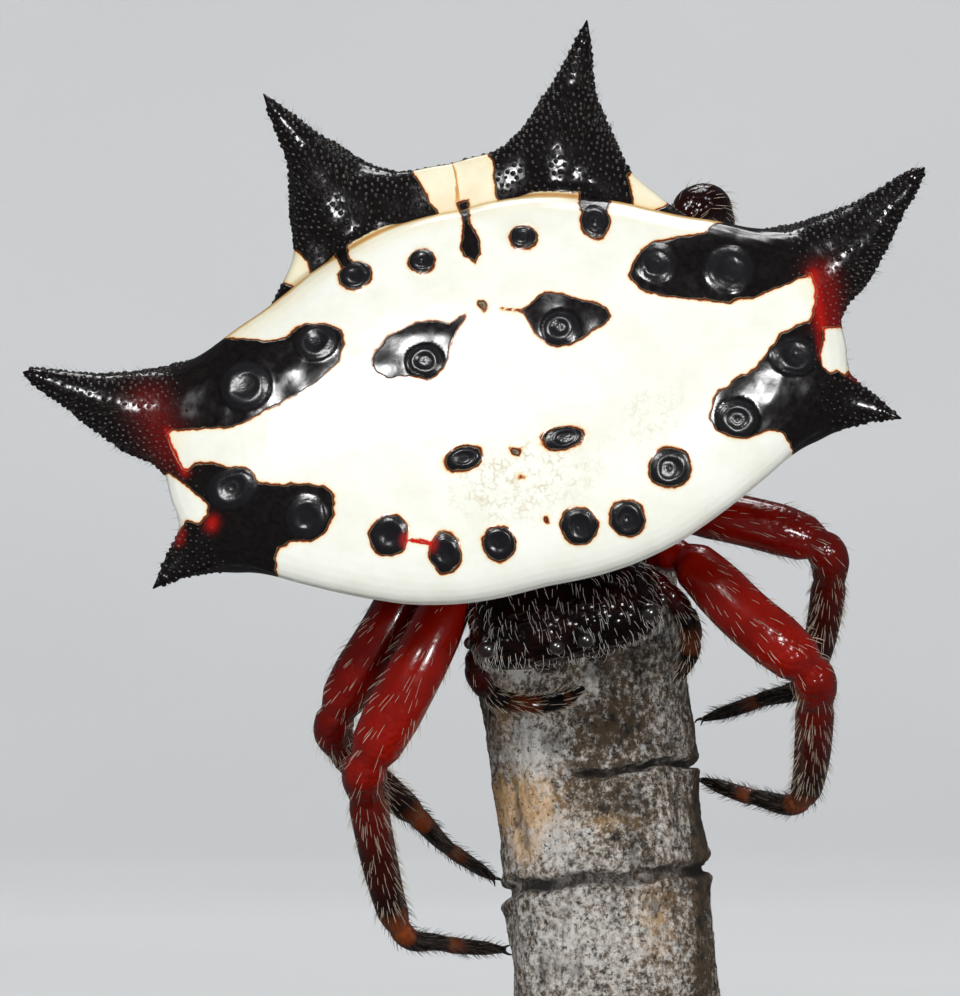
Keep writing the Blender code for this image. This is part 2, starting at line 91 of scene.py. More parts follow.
# A separate tapered end goes over a spine where it gets this thin, with these point values
TIP_RADIUS = 0.15
TIP_FIT = 0.98
TIP_SIDES = 16
NO_RING = 9.0
TIP_VALUES = {"dark": -0.5, "ring": NO_RING, "rim": 0.0, "red": 0.0, "freckle": 0.0, "disc": 0.0,
              "grain": 0.3}
ABDOMEN_BOX = ((-6.6, -3.0, -2.9), (6.6, 5.3, 0.8))
ABDOMEN_CELLS = (0.075, 0.12)
HEAD_BOX = ((-0.7, -1.9, -0.3), (3.2, 1.9, 2.3))
HEAD_CELLS = (0.055, 0.08)
SPINNERET_CELL = 0.05
# Moving points onto a skin: distance for the slope, least slope squared, longest move
SLOPE_STEP = 0.004
WEAKEST_SLOPE = 0.05
LONGEST_MOVE = 0.04
# Pieces between two corners of a smooth curve
CURVE_PIECES = 16
# Round grains on the black spines: distance between two, smallest and largest radius
GRAIN_SPACING = 0.078
GRAIN_RADII = (0.027, 0.048)
GRAIN_SEED = 5
GRAIN_SIDES = 8
GRAIN_TILTS = (0.004, 0.5, 1.0, 1.5)
GRAIN_SINK = 0.35
# Spinnerets: middle of the collar's root in s, t, n, then lengths, radii and how far the nozzles lean out
SPINNERET_BASE = (0.0, 0.7, -2.5)
COLLAR_LENGTH = 0.45
COLLAR_RADII = (0.34, 0.3)
NOZZLE_REACH = (0.3, 0.72)
NOZZLE_RADII = (0.15, 0.07)
NOZZLE_TURN = 0.5
NOZZLE_LEAN = 0.2
NOZZLE_BLEND = 0.06

# Dimples of the back: s, t, half width along s, half width along t
SIGILLA = (
    (-1.61, 2.14, 0.23, 0.22), (-0.67, 2.12, 0.19, 0.18), (0.75, 2.14, 0.19, 0.18),
    (1.76, 2.14, 0.2, 0.26), (-3.39, 0.98, 0.35, 0.34), (3.41, 1.08, 0.34, 0.33),
    (-2.32, 1.34, 0.29, 0.26), (2.46, 1.37, 0.27, 0.27), (-3.88, -0.35, 0.36, 0.28),
    (4.0, -0.28, 0.32, 0.27), (-2.98, -0.99, 0.28, 0.28), (3.05, -0.98, 0.28, 0.26),
    (-1.93, -1.49, 0.27, 0.27), (2.0, -1.44, 0.29, 0.27), (-1.24, -1.89, 0.22, 0.25),
    (1.28, -1.97, 0.24, 0.25), (-0.5, -1.93, 0.23, 0.23), (0.62, -1.94, 0.24, 0.25),
    (-0.94, 0.72, 0.25, 0.22), (0.97, 0.75, 0.26, 0.24), (-0.7, -0.72, 0.25, 0.165),
    (0.68, -0.75, 0.28, 0.165),
)
# Height of a dimple's mound and depth of the pit in its middle
DIMPLE_MOUND = 0.035
DIMPLE_PIT = 0.03
# Outlines of the black sides, each open toward its spines, and of the cream patch in each
RIGHT_SIDE = (
    (-3.75, 3.0), (-3.65, 1.83), (-3.42, 1.71), (-3.2, 1.63), (-2.94, 1.51), (-2.71, 1.52), (-2.61, 1.6),
    (-2.41, 1.63), (-2.14, 1.57), (-1.97, 1.43), (-1.95, 1.22), (-2.08, 1.01), (-2.29, 0.86),
    (-2.6, 0.71), (-2.84, 0.65), (-3.13, 0.58), (-3.44, 0.49), (-3.73, 0.47), (-4.0, 0.54), (-4.33, 0.62),
    (-4.5, 0.65), (-4.57, 0.61), (-4.56, 0.41), (-4.51, 0.18), (-4.43, 0.06), (-4.3, 0.1), (-4.16, 0.08),
    (-3.9, -0.04), (-3.65, -0.18), (-3.46, -0.38), (-3.2, -0.49), (-2.88, -0.56), (-2.65, -0.64),
    (-2.54, -0.81), (-2.6, -1.07), (-2.76, -1.24), (-3.0, -1.31), (-3.27, -1.26), (-3.44, -1.28),
    (-3.52, -1.39), (-3.55, -1.6), (-3.6, -3.0), (-8.0, -3.0), (-8.0, 3.0),
)
LEFT_SIDE = (
    (3.8, 3.0), (3.7, 1.88), (3.5, 1.83), (3.31, 1.77), (3.2, 1.68), (2.98, 1.66), (2.78, 1.68),
    (2.52, 1.68), (2.3, 1.59), (2.13, 1.43), (2.06, 1.28), (2.12, 1.08), (2.28, 0.96), (2.59, 0.83),
    (2.92, 0.72), (3.31, 0.62), (3.61, 0.61), (3.83, 0.66), (4.04, 0.69), (4.26, 0.74), (4.46, 0.79),
    (4.5, 0.64), (4.45, 0.39), (4.38, 0.22), (4.3, 0.15), (4.06, 0.1), (3.9, 0.04), (3.74, -0.08),
    (3.6, -0.22), (3.45, -0.33), (3.28, -0.41), (3.11, -0.49), (2.91, -0.57), (2.75, -0.7), (2.67, -0.9),
    (2.74, -1.08), (2.92, -1.2), (3.14, -1.26), (3.3, -1.22), (3.45, -1.22), (3.6, -1.28), (3.68, -1.4),
    (3.72, -1.54), (3.8, -3.0), (8.0, -3.0), (8.0, 3.0),
)
RIGHT_CREAM = (
    (-5.0, 0.12), (-4.7, 0.1), (-4.54, -0.09), (-4.43, -0.22), (-4.31, -0.38), (-4.23, -0.5),
    (-4.29, -0.63), (-4.42, -0.68), (-4.55, -0.63), (-4.62, -0.6), (-4.75, -0.68), (-5.0, -0.7),
)
LEFT_CREAM = (
    (4.46, 0.04), (4.81, 0.03), (5.0, 0.02), (5.0, -0.66), (4.87, -0.66), (4.72, -0.6), (4.62, -0.63),
    (4.54, -0.57), (4.42, -0.6), (4.37, -0.5), (4.37, -0.33), (4.43, -0.14),
)
# Outlines of the smaller black marks
MARKS = (
    ((-0.24, 1.22), (-0.35, 1.1), (-0.48, 0.95), (-0.55, 0.77), (-0.67, 0.58), (-0.82, 0.47), (-0.97, 0.45),
     (-1.24, 0.55), (-1.5, 0.6), (-1.62, 0.72), (-1.64, 0.89), (-1.56, 1.04), (-1.36, 1.17), (-1.14, 1.24),
     (-0.93, 1.27), (-0.68, 1.24), (-0.48, 1.17), (-0.35, 1.19)),
    ((0.34, 1.17), (0.54, 1.14), (0.7, 1.2), (0.84, 1.26), (0.96, 1.28), (1.11, 1.2), (1.3, 1.1),
     (1.53, 0.99), (1.64, 0.88), (1.66, 0.76), (1.57, 0.67), (1.41, 0.61), (1.23, 0.55), (1.05, 0.48),
     (0.88, 0.49), (0.75, 0.57), (0.62, 0.72), (0.57, 0.88), (0.51, 1.04)),
    ((-0.02, 2.95), (0.14, 2.95), (0.12, 2.7), (0.07, 2.5), (0.15, 2.26), (0.13, 2.03), (0.03, 1.91),
     (-0.07, 2.04), (-0.1, 2.21), (-0.02, 2.4), (-0.01, 2.56)),
    ((1.64, 2.3), (1.6, 2.48), (1.66, 3.1), (2.06, 3.1), (2.02, 2.4), (1.95, 2.24)),
    ((-1.78, 2.3), (-1.8, 2.5), (-1.86, 3.1), (-1.62, 3.1), (-1.62, 2.52), (-1.58, 2.3)),
)
# Small rust-red dots and flecks, which count as no deeper than this, so they never turn black
DOT_DEPTH = 0.012
DOTS = (
    ((-0.08, -0.72), (0.03, -0.75), (0.12, -0.74), (0.03, -0.84), (-0.05, -0.81)),
    ((-0.02, -1.09), (0.07, -1.12), (0.05, -1.19), (-0.04, -1.16)),
    ((-0.04, 1.36), (0.03, 1.35), (0.06, 1.24), (0.02, 1.15), (-0.03, 1.22)),
    ((0.24, 1.21), (0.34, 1.18), (0.34, 1.16), (0.24, 1.19)),
    ((0.19, -1.72), (0.22, -1.73), (0.21, -1.8), (0.18, -1.78)),
)
# Thin rust-red link between two dimples, its half width and the width of its glow
RED_LINK = ((-1.68, -1.62), (-1.43, -1.72))
LINK_HALF_WIDTH = 0.022
LINK_GLOW = 0.12
# Red glows along lines: s, t, s, t, width, strength
RED_GLOWS = (
    (4.52, 0.78, 4.47, 0.05, 0.1, 1.0), (4.62, 0.74, 4.62, 0.1, 0.2, 0.45),
    (-4.58, 0.66, -4.47, 0.05, 0.07, 0.8), (-4.75, 1.1, -4.62, 0.4, 0.28, 0.25),
    (-4.27, -0.75, -4.25, -0.72, 0.085, 1.0), (-4.72, -0.72, -4.76, -0.8, 0.07, 0.7),
    (4.7, -0.62, 4.88, -0.72, 0.05, 0.6), (4.4, -0.06, 4.36, -0.36, 0.05, 0.5),
)
# Places of the soft brown net: s, t, half sizes, power of the falloff, strength
FRECKLES = ((0.0, -1.15, 1.0, 0.55, 2, 1.0), (1.9, -0.75, 0.5, 0.5, 1, 0.7))
# Cream patches below the plate's rear edge
CREAM_PATCHES = (
    ((-0.3, 2.2), (-0.32, 2.87), (-0.41, 3.15), (-0.5, 3.45), (-0.62, 4.2), (0.62, 4.2), (0.56, 3.5),
     (0.58, 3.29), (0.53, 2.97), (0.5, 2.2)),
    ((2.34, 2.2), (2.34, 2.8), (2.6, 3.02), (2.84, 2.88), (2.98, 2.5), (2.75, 2.25)),
    ((-2.2, 2.2), (-2.2, 2.62), (-2.36, 2.86), (-2.55, 2.6), (-2.58, 2.42), (-2.43, 2.25)),
)
# Heights: lower edge of the plate's rim, top of the black underside, and its rise at the rear
RIM_LEVEL = -0.42
UNDERSIDE_LEVEL = -1.0
UNDERSIDE_RISE = 0.28
# Value of the rim that turns the crease in the rear band orange
CREASE_RIM = 0.995

# Head and thorax: shift from the abdomen's middle, place of the waist, world y of the breast plate
HEAD_SHIFT = 0.17
WAIST_T = -0.85
STERNUM_Y = -1.92
# Distance ahead of the waist, half width, underside, top
CEPHALOTHORAX = (
    (-0.42, 0.16, 0.34, 0.56), (-0.25, 0.24, 0.26, 0.64), (0.05, 0.34, 0.22, 0.76),
    (0.35, 0.8, 0.12, 0.94), (0.8, 1.18, 0.1, 1.28), (1.35, 1.32, 0.08, 1.58), (1.8, 1.33, 0.12, 1.82),
    (2.12, 1.33, 0.42, 1.95), (2.38, 1.32, 0.8, 1.97), (2.58, 1.26, 0.93, 1.88), (2.73, 1.04, 1.08, 1.74),
    (2.82, 0.64, 1.18, 1.58),
)
# Squareness of its sections, depth of its groove, and how softly hips and eyes join it
HEAD_SQUARENESS = 2.6
GROOVE_DEPTH = 0.07
HIP_BLEND = 0.12
EYE_BLEND = 0.08
# Eyes: distance across, ahead, height, radius
EYES = (
    (1.14, 2.41, 1.8, 0.13), (1.29, 2.28, 1.36, 0.09), (0.205, 2.57, 1.9, 0.115),
    (0.24, 2.84, 1.24, 0.07),
)
# Round balls: rings, sides, and the angle of the tiny ring at each pole
BALL_LEVELS = 16
BALL_SIDES = 28
POLE = 0.02

# Pairs of legs: the hip's distance ahead, height and distance across, then size and tone of the leg; the
# tone is lower toward the rear pairs, and the fourth pair's low tone is painted shade behind the abdomen
LEG_PAIRS = {
    "leg_1": (1.65, 0.3, 1.12, 1.0, 1.0), "leg_2": (1.2, 0.27, 1.08, 0.9, 0.75),
    "leg_3": (0.65, 0.24, 0.9, 0.8, 0.5), "leg_4": (0.15, 0.24, 0.46, 0.9, 0.08),
}
# Joints in world millimetres: trochanter, thigh, knee, below the knee, ankle, foot, claw
LEG_JOINTS = {
    "leg_1_left": (
        (0.78, -2.85, 12.82), (1.63, -3.15, 12.03), (2.48, -3.05, 11.29),
        (2.62, -2.62, 10.8), (2.49, -1.3, 9.45), (1.86, -0.45, 9.42), (1.12, 0.42, 9.64)),
    "leg_2_left": (
        (0.52, -2.1, 13.48), (1.6, -2.3, 13.34), (2.66, -2.25, 13.0),
        (2.84, -1.92, 12.5), (2.57, -1.0, 11.12), (1.92, -0.55, 10.8), (1.14, 0.06, 10.52)),
    "leg_3_left": (
        (0.4, -1.7, 14.08), (1.08, -1.42, 14.45), (1.72, -1.15, 14.6),
        (1.8, -0.75, 14.45), (1.36, 0.15, 14.1), (1.05, 0.7, 13.95), (0.48, 1.18, 13.8)),
    "leg_4_left": (
        (-0.12, -1.72, 14.78), (0.5, -1.75, 16.25), (0.84, -1.75, 17.6),
        (1.28, -1.4, 17.66), (1.15, 0.15, 16.5), (0.82, 0.95, 16.0), (0.16, 1.62, 15.5)),
    "leg_1_right": (
        (-2.3, -2.74, 12.5), (-2.93, -3.1, 11.25), (-3.57, -2.78, 10.01),
        (-3.62, -2.38, 9.5), (-3.19, -1.4, 7.66), (-2.6, -0.75, 7.38), (-1.7, 0.22, 7.24)),
    "leg_2_right": (
        (-2.7, -2.08, 12.9), (-3.4, -2.28, 11.74), (-4.02, -2.05, 10.67),
        (-3.97, -1.68, 10.15), (-2.95, -1.0, 9.19), (-2.5, -0.5, 8.72), (-1.84, 0.28, 8.25)),
    "leg_3_right": (
        (-2.84, -1.62, 13.46), (-3.44, -1.38, 13.66), (-3.96, -1.05, 13.74),
        (-3.98, -0.58, 13.58), (-3.2, 0.2, 13.25), (-2.82, 0.72, 13.12), (-2.24, 1.16, 13.0)),
    "leg_4_right": (
        (-2.6, -1.74, 14.22), (-3.62, -1.38, 15.16), (-4.5, -0.95, 16.05),
        (-4.36, -0.52, 16.22), (-3.05, 0.62, 15.6), (-2.8, 1.12, 15.3), (-2.32, 1.66, 15.02)),
}
# Each segment of a leg: its first and last joint, then (share along it, radius) of a front leg
LEG_SEGMENTS = (
    (0, 0.55, ((0.0, 0.22), (0.5, 0.27), (1.0, 0.23))),
    (0.55, 1, ((0.0, 0.22), (0.5, 0.26), (1.0, 0.21))),
    (1, 3, ((0.0, 0.22), (0.08, 0.33), (0.3, 0.385), (0.75, 0.4), (0.92, 0.36), (1.0, 0.27))),
    (3, 4, ((0.0, 0.26), (0.2, 0.31), (0.6, 0.3), (1.0, 0.25))),
    (4, 5, ((0.0, 0.24), (0.1, 0.275), (0.5, 0.26), (0.9, 0.22), (1.0, 0.17))),
    (5, 6, ((0.0, 0.14), (0.12, 0.165), (0.5, 0.145), (1.0, 0.115))),
    (6, 7, ((0.0, 0.105), (0.2, 0.12), (0.7, 0.1), (1.0, 0.045))),
)
LEG_STEPS = 150
LEG_SIDES = 24
# Radius of a limb's closing ring, as a share of the limb's own
CAP = 0.02
CLAW_RADII = (0.028, 0.006)
CLAW_STEPS = 8
CLAW_SIDES = 8
# Station down the leg as a share, and colour
LEG_COLOURS = (
    (0.0, (0.10, 0.003, 0.001)), (0.28, (0.20, 0.004, 0.001)), (0.41, (0.24, 0.005, 0.001)),
    (0.50, (0.14, 0.004, 0.001)), (0.57, (0.11, 0.004, 0.001)), (0.63, (0.045, 0.004, 0.002)),
    (0.69, (0.007, 0.004, 0.003)), (0.715, (0.26, 0.055, 0.012)), (0.748, (0.19, 0.036, 0.008)),
    (0.765, (0.007, 0.004, 0.003)), (0.855, (0.006, 0.004, 0.003)), (0.868, (0.16, 0.040, 0.012)),
    (0.89, (0.09, 0.020, 0.008)), (0.91, (0.006, 0.004, 0.003)), (1.0, (0.004, 0.003, 0.003)),
)

# Palps: world points and radii. Jaw: points ahead, across and above the breast plate, and radii
PALPS = {
    "right": (((-1.62, -2.55, 12.0), (-1.98, -2.66, 11.56), (-2.11, -2.55, 11.36), (-2.06, -2.38, 11.14),
               (-1.9, -2.15, 10.93), (-1.62, -1.98, 10.8), (-1.19, -1.8, 10.76), (-0.85, -1.62, 10.84),
               (-0.6, -1.5, 10.98)), (0.12, 0.145, 0.16, 0.165, 0.15, 0.14, 0.135, 0.12, 0.05)),
    "left": (((0.02, -2.62, 12.72), (0.38, -2.88, 12.5), (0.58, -2.92, 12.32), (0.77, -2.8, 12.08),
              (0.88, -2.62, 11.8), (0.87, -2.38, 11.48), (0.76, -2.05, 11.16)),
             (0.12, 0.14, 0.155, 0.175, 0.17, 0.15, 0.07)),
}
JAW = (((2.6, 0.38, 0.9), (2.66, 0.38, 0.4), (2.64, 0.36, -0.05), (2.5, 0.3, -0.4)),
       (0.27, 0.29, 0.22, 0.06))
MOUTH_STEPS = 60
MOUTH_SIDES = 20
PALP_TONE = 0.32
PALP_CREASES = (0.3, 0.48, 0.7)
# Rings down a palp, and the leg stations whose colours they take
PALP_STATIONS = ((0, 18, 30, 44, 61), (2.6, 3.6, 4.75, 5.1, 6.9))

# Stand
BASE_RADIUS = 8.99
BASE_HEIGHT = 2.2
BASE_EDGE = 0.35
BASE_SIDES = 180
ROD_SIDES = 48
ROD_RADIUS = 0.8
ROD_REACH = 0.4
AXIS_RADIUS = 0.01

# Twig
TWIG_FOOT = np.array((0.04, 0.0, 5.6))
TWIG_TOP = np.array((-1.14, 0.75, 16.2))
TWIG_RADIUS = 1.48
TWIG_RINGS = (330, 140)
TWIG_SIDES = (240, 120)
# Rings on each sawn end as shares of its radius, and how soft its edge is
TWIG_END_SHARES = (0.86, 0.6, 0.3, 0.02)
END_ROUNDING = 0.05
LIP_HEIGHT = 0.035
# Ring cracks: height of the middle, half width, depth, middle of the open side, reach to each side
CRACKS = ((9.7, 0.07, 0.2, -0.75, 1.2), (8.22, 0.115, 0.11, 0.0, 9.0))
# Pale and dark places of the bark, with painted shade in the narrow dark strips down both sides of the twig
# and a painted shadow below the head: x, z, half width, half height, strength
BARK_PATCHES_AND_SHADE = (
    (-1.36, 9.99, 0.5, 0.45, 0.65), (-0.35, 10.6, 0.55, 0.75, -0.36), (-0.94, 8.85, 0.75, 0.5, 0.45),
    (-0.4, 7.4, 1.2, 0.8, 0.35), (1.08, 9.0, 0.14, 3.5, -0.8), (-1.95, 8.0, 0.25, 3.0, -0.4),
    (-1.5, 11.2, 0.22, 0.16, 0.8), (-0.5, 11.1, 0.18, 0.3, 0.8), (0.1, 9.2, 0.6, 0.5, -0.1),
    (0.45, 10.3, 0.3, 0.35, 0.1), (0.45, 8.9, 0.4, 0.7, 0.1),
)
OCHRE_PLACES = (
    (-1.5, 9.32, 0.46, 0.36, 1.9), (-1.4, 8.75, 0.16, 0.28, 1.0), (0.45, 7.7, 0.25, 0.45, 0.6),
    (-0.2, 9.1, 0.35, 0.12, 0.5), (-1.75, 10.6, 0.15, 0.4, 0.5),
)

# Colours of the bark by its level, which runs from dark pits to pale scales
BARK_COLOURS = (
    (0.39, (0.018, 0.016, 0.014)), (0.45, (0.080, 0.071, 0.062)), (0.50, (0.23, 0.21, 0.19)),
    (0.56, (0.50, 0.48, 0.45)), (0.68, (0.82, 0.81, 0.78)),
)
BARK_BROWN = (0.24, 0.17, 0.105)
STAIN_OCHRE = (1.0, 0.58, 0.22)
PIT_BLACK = (0.014, 0.012, 0.011)
# Colour of the painted shade in the bark's hollows and cracks and of the painted shadow below the head
PAINTED_SHADE_BLACK = (0.020, 0.016, 0.014)
WOOD_COLOURS = ((0.10, (0.40, 0.28, 0.16)), (0.75, (0.52, 0.40, 0.25)), (1.0, (0.25, 0.15, 0.08)))
PITH_BROWN = (0.10, 0.055, 0.03)
WOOD_GREY = (0.12, 0.09, 0.07)

# Colours and roughness of the shell
RIM_ORANGE = (0.55, 0.22, 0.03)
NET_BROWN = (0.58, 0.49, 0.30)
HALO_OCHRE = (0.80, 0.60, 0.26)
DISC_BLACK = (0.009, 0.009, 0.011)
GLOW_RED = (0.36, 0.006, 0.003)
LINE_RED = (0.55, 0.01, 0.005)
DISC_ROUGHNESS = 0.27
BEAD_ROUGHNESS = 0.32
# Colour of the head's front edge
BRIM_RED = (0.06, 0.010, 0.004)

# Bristles: rings and sides of each, how much it thins toward its tip, counts, shortest and longest
HAIR_RINGS = 5
HAIR_SIDES = 3
HAIR_TAPER = 0.75
HAIR_SEED = 11
LEG_HAIR_COUNT = 850
PALP_HAIR_COUNT = 210
HEAD_HAIR_COUNT = 620
SHELL_HAIR_COUNT = 1300
LEG_HAIR_LENGTHS = (0.12, 0.29)
HEAD_HAIR_LENGTHS = (0.13, 0.28)
SHELL_HAIR_LENGTHS = (0.06, 0.16)
# Station of a leg from which its bristles are dark
FOOT_STATION = 4.85
HAIR_COLOURS = (
    ("pale_bristle", (0.22, 0.12, 0.07), (0.88, 0.80, 0.64)),
    ("white_bristle", (0.50, 0.45, 0.40), (0.95, 0.93, 0.90)),
    ("grey_bristle", (0.03, 0.025, 0.02), (0.20, 0.18, 0.15)),
    ("dark_bristle", (0.010, 0.007, 0.006), (0.10, 0.07, 0.05)),
)

# Stage: where the floor starts to rise, radius of its curve, height of its wall
FLOOR_RADIUS = 250.0
FLOOR_CURVE = 120.0
WALL_HEIGHT = 400.0
FLOOR_SIDES = 72
# Point of the model that lamps are aimed at
MODEL_MIDDLE = (-1.0, -3.0, 13.0)
# Lights: name, place, aim, diameter, power
LIGHTS = (
    ("key", (-46.0, -155.0, 87.0), MODEL_MIDDLE, 38.0, 0.168),
    ("fill", (70.0, -165.0, 22.0), MODEL_MIDDLE, 26.0, 0.130),
    ("top", (20.0, 20.0, 190.0), MODEL_MIDDLE, 40.0, 0.05),
    ("backdrop", (0.0, 120.0, 260.0), (0.0, 330.0, 20.0), 160.0, 0.62),
)
SKY_COLOUR = (0.86, 0.90, 0.95)
SKY_STRENGTH = 0.085


def abdomen_axes():
    """World directions of s, t and n, as the rows of a matrix."""
    across = np.array((math.cos(ROLL), 0.0, math.sin(ROLL)))
    rear = np.array((-math.sin(ROLL) * math.cos(PITCH), math.sin(PITCH), math.cos(ROLL) * math.cos(PITCH)))
    return np.array((across, rear, np.cross(across, rear)))


def abdomen_to_world(points):
    return ABDOMEN_CENTRE + np.asarray(points) @ abdomen_axes()


def head_to_world(points):
    """World places of points given as ahead, across and height."""
    ahead, across, height = np.asarray(points, float).T
    t = WAIST_T - ahead
    s = across + HEAD_SHIFT
    x = ABDOMEN_CENTRE[0] + s * math.cos(ROLL) - t * math.sin(ROLL)
    z = ABDOMEN_CENTRE[2] + s * math.sin(ROLL) + t * math.cos(ROLL)
    return np.stack((x, STERNUM_Y - height, z), axis=-1)


def fineness(choices):
    full, quick = choices
    return full


def unit(rows):
    return rows / np.linalg.norm(rows, axis=1)[:, None]


def turns(sides):
    return np.linspace(0, 2 * math.pi, sides, endpoint=False)


def smooth_path(corners, steps):
    """Points at even spacing along a smooth curve through the corners, and each corner's share."""
    corners = np.asarray(corners, float)
    padded = np.vstack((2 * corners[0] - corners[1], corners, 2 * corners[-1] - corners[-2]))
    u = np.arange(CURVE_PIECES)[:, None] / CURVE_PIECES
    fine = []
    for first in range(len(corners) - 1):
        a, b, c, d = padded[first:first + 4]
        fine.append(0.5 * (2 * b + (c - a) * u + (2 * a - 5 * b + 4 * c - d) * u ** 2
                           + (3 * b - a - 3 * c + d) * u ** 3))
    fine = np.vstack(fine + [corners[-1:]])
    travelled = np.concatenate(([0.0], np.cumsum(np.linalg.norm(np.diff(fine, axis=0), axis=1))))
    even = np.linspace(0.0, travelled[-1], steps)
    spots = np.stack([np.interp(even, travelled, column) for column in fine.T], axis=-1)
    return spots, travelled[::CURVE_PIECES] / travelled[-1]


def smooth_step(low, high, value):
    u = np.clip((value - low) / (high - low), 0.0, 1.0)
    return u * u * (3 - 2 * u)


def smooth_min(first, second, blend):
    mix = np.clip(0.5 + 0.5 * (second - first) / blend, 0.0, 1.0)
    return second + (first - second) * mix - blend * mix * (1 - mix)


def chain_distance(points, centres, radii):
    """Distance to a chain of round cones, negative inside."""
    nearest = np.full(len(points), FAR)
    for a, b, start, end in zip(centres[:-1], centres[1:], radii[:-1], radii[1:]):
        run = b - a
        share = np.clip((points - a) @ run / (run @ run), 0.0, 1.0)
        gap = np.linalg.norm(points - a - share[:, None] * run, axis=1)
        nearest = np.minimum(nearest, gap - start - share * (end - start))
    return nearest


def outline_distance(x, y, corners, loop=True, filled=True):
    """Distance in the plane to a line through the corners, negative inside where it is filled."""
    corners = list(corners)
    ends = corners[1:] + (corners[:1] if loop else [])
    nearest = np.full(x.shape, FAR)
    inside = np.zeros(x.shape, bool)
    for (ax, ay), (bx, by) in zip(corners, ends):
        dx, dy = bx - ax, by - ay
        share = ((x - ax) * dx + (y - ay) * dy) / np.maximum(dx * dx + dy * dy, TINY)
        share = np.clip(share, 0.0, 1.0)
        nearest = np.minimum(nearest, np.hypot(x - ax - share * dx, y - ay - share * dy))
        if filled and dy:
            inside ^= ((ay > y) != (by > y)) & (x < ax + (y - ay) / dy * dx)
    return np.where(inside, -nearest, nearest)


def surface_nets(field, box, step):
    """Points and quads of the surface where the field is zero, with a point in each crossed cell."""
    low, high = box
    axes = [np.arange(a, b + step, step) for a, b in zip(low, high)]
    shape = [len(axis) for axis in axes]
    values = np.empty(shape)
    plane = np.stack(np.meshgrid(axes[1], axes[2], indexing="ij"), axis=-1).reshape(-1, 2)
    for layer, x in enumerate(axes[0]):
        points = np.column_stack((np.full(len(plane), x), plane))
        values[layer] = field(points).reshape(shape[1:])
    inside = values < 0
    offsets = np.array([(i, j, k) for i in (0, 1) for j in (0, 1) for k in (0, 1)])
    wide, deep, tall = (size - 1 for size in shape)
    count = sum(inside[i:i + wide, j:j + deep, k:k + tall].astype(np.int8) for i, j, k in offsets)
    crossed = np.argwhere((count > 0) & (count < len(offsets)))
    corner = np.array([values[tuple((crossed + offset).T)] for offset in offsets])
    total = np.zeros((len(crossed), 3))
    hits = np.zeros(len(crossed))
    for first, start in enumerate(offsets):
        for second, end in enumerate(offsets):
            if second <= first or np.abs(start - end).sum() != 1:
                continue
            a, b = corner[first], corner[second]
            cut = (a < 0) != (b < 0)
            share = np.where(cut, a / np.where(cut, a - b, 1.0), 0.0)[:, None]
            total += np.where(cut[:, None], start + share * (end - start), 0.0)
            hits += cut
    points = np.asarray(low) + step * (crossed + total / hits[:, None])
    number = np.full((wide, deep, tall), -1)
    number[tuple(crossed.T)] = np.arange(len(crossed))
    faces = []
    for axis, size in enumerate(shape):
        one = np.roll((1, 0, 0), axis + 1)
        two = np.roll((1, 0, 0), axis + 2)
        here = inside.take(range(size - 1), axis)
        edges = np.argwhere(here != inside.take(range(1, size), axis))
        edges = edges[(edges[:, (axis + 1) % 3] > 0) & (edges[:, (axis + 2) % 3] > 0)]
        leaving = here[tuple(edges.T)]
        quad = np.stack([number[tuple((edges - shift).T)] for shift in (one + two, two, 0, one)], axis=-1)
        faces.append(np.where(leaving[:, None], quad, quad[:, ::-1]))
    return points, np.vstack(faces)


def split_quads(points, quads):
    """Each quad as four, with new points at the middles of its edges and at its own middle."""
    following = np.roll(quads, -1, axis=1)
    edges = np.sort(np.stack((quads, following), axis=-1).reshape(-1, 2), axis=1)
    unique, where = np.unique(edges, axis=0, return_inverse=True)
    middles = len(points) + where.reshape(-1, 4)
    centres = len(points) + len(unique) + np.arange(len(quads))
    made = np.vstack((points, points[unique].mean(axis=1), points[quads].mean(axis=1)))
    parts = [np.stack((quads[:, side], middles[:, side], centres, middles[:, side - 1]), axis=-1)
             for side in range(4)]
    return made, np.vstack(parts)


def settle(points, field, rounds=3):
    """Moves points onto the surface where the field is zero, and gives its directions there."""
    for _ in range(rounds):
        slope = np.stack([field(points + SLOPE_STEP * way) - field(points - SLOPE_STEP * way)
                          for way in np.eye(3)], axis=-1) / (2 * SLOPE_STEP)
        strength = np.maximum((slope ** 2).sum(axis=1), WEAKEST_SLOPE)
        move = slope * (field(points) / strength)[:, None]
        size = np.maximum(np.linalg.norm(move, axis=1), TINY)
        points = points - move * np.minimum(1.0, LONGEST_MOVE / size)[:, None]
    return points, unit(slope)


def fine_surface(field, box, cells):
    """Points, quads and outward directions of a field's surface, split once for fine relief."""
    points, quads = surface_nets(field, box, fineness(cells))
    points, _ = settle(points, field)
    points, quads = split_quads(points, quads)
    points, normals = settle(points, field, 2)
    return points, quads, normals


def tube_faces(rings, sides):
    """Quads between rings of points that follow one another."""
    ring = np.arange(rings - 1)[:, None] * sides
    side = np.arange(sides)[None, :]
    following = (side + 1) % sides
    corners = (ring + side, ring + following, ring + sides + following, ring + sides + side)
    return np.stack(corners, axis=-1).reshape(-1, 4)


def repeated_faces(rings, sides, count):
    """The quads of many equal tubes whose points follow one another."""
    starts = np.arange(count)[:, None, None] * rings * sides
    return (starts + tube_faces(rings, sides)).reshape(-1, 4)


def lathe(profile, sides):
    """Points and quads of a profile of radii and heights that is turned about Z."""
    radii, heights = np.array(profile).T[:, :, None]
    turn = turns(sides)
    points = np.stack((radii * np.cos(turn), radii * np.sin(turn), heights + 0 * turn), axis=-1)
    return points.reshape(-1, 3), tube_faces(len(profile), sides)


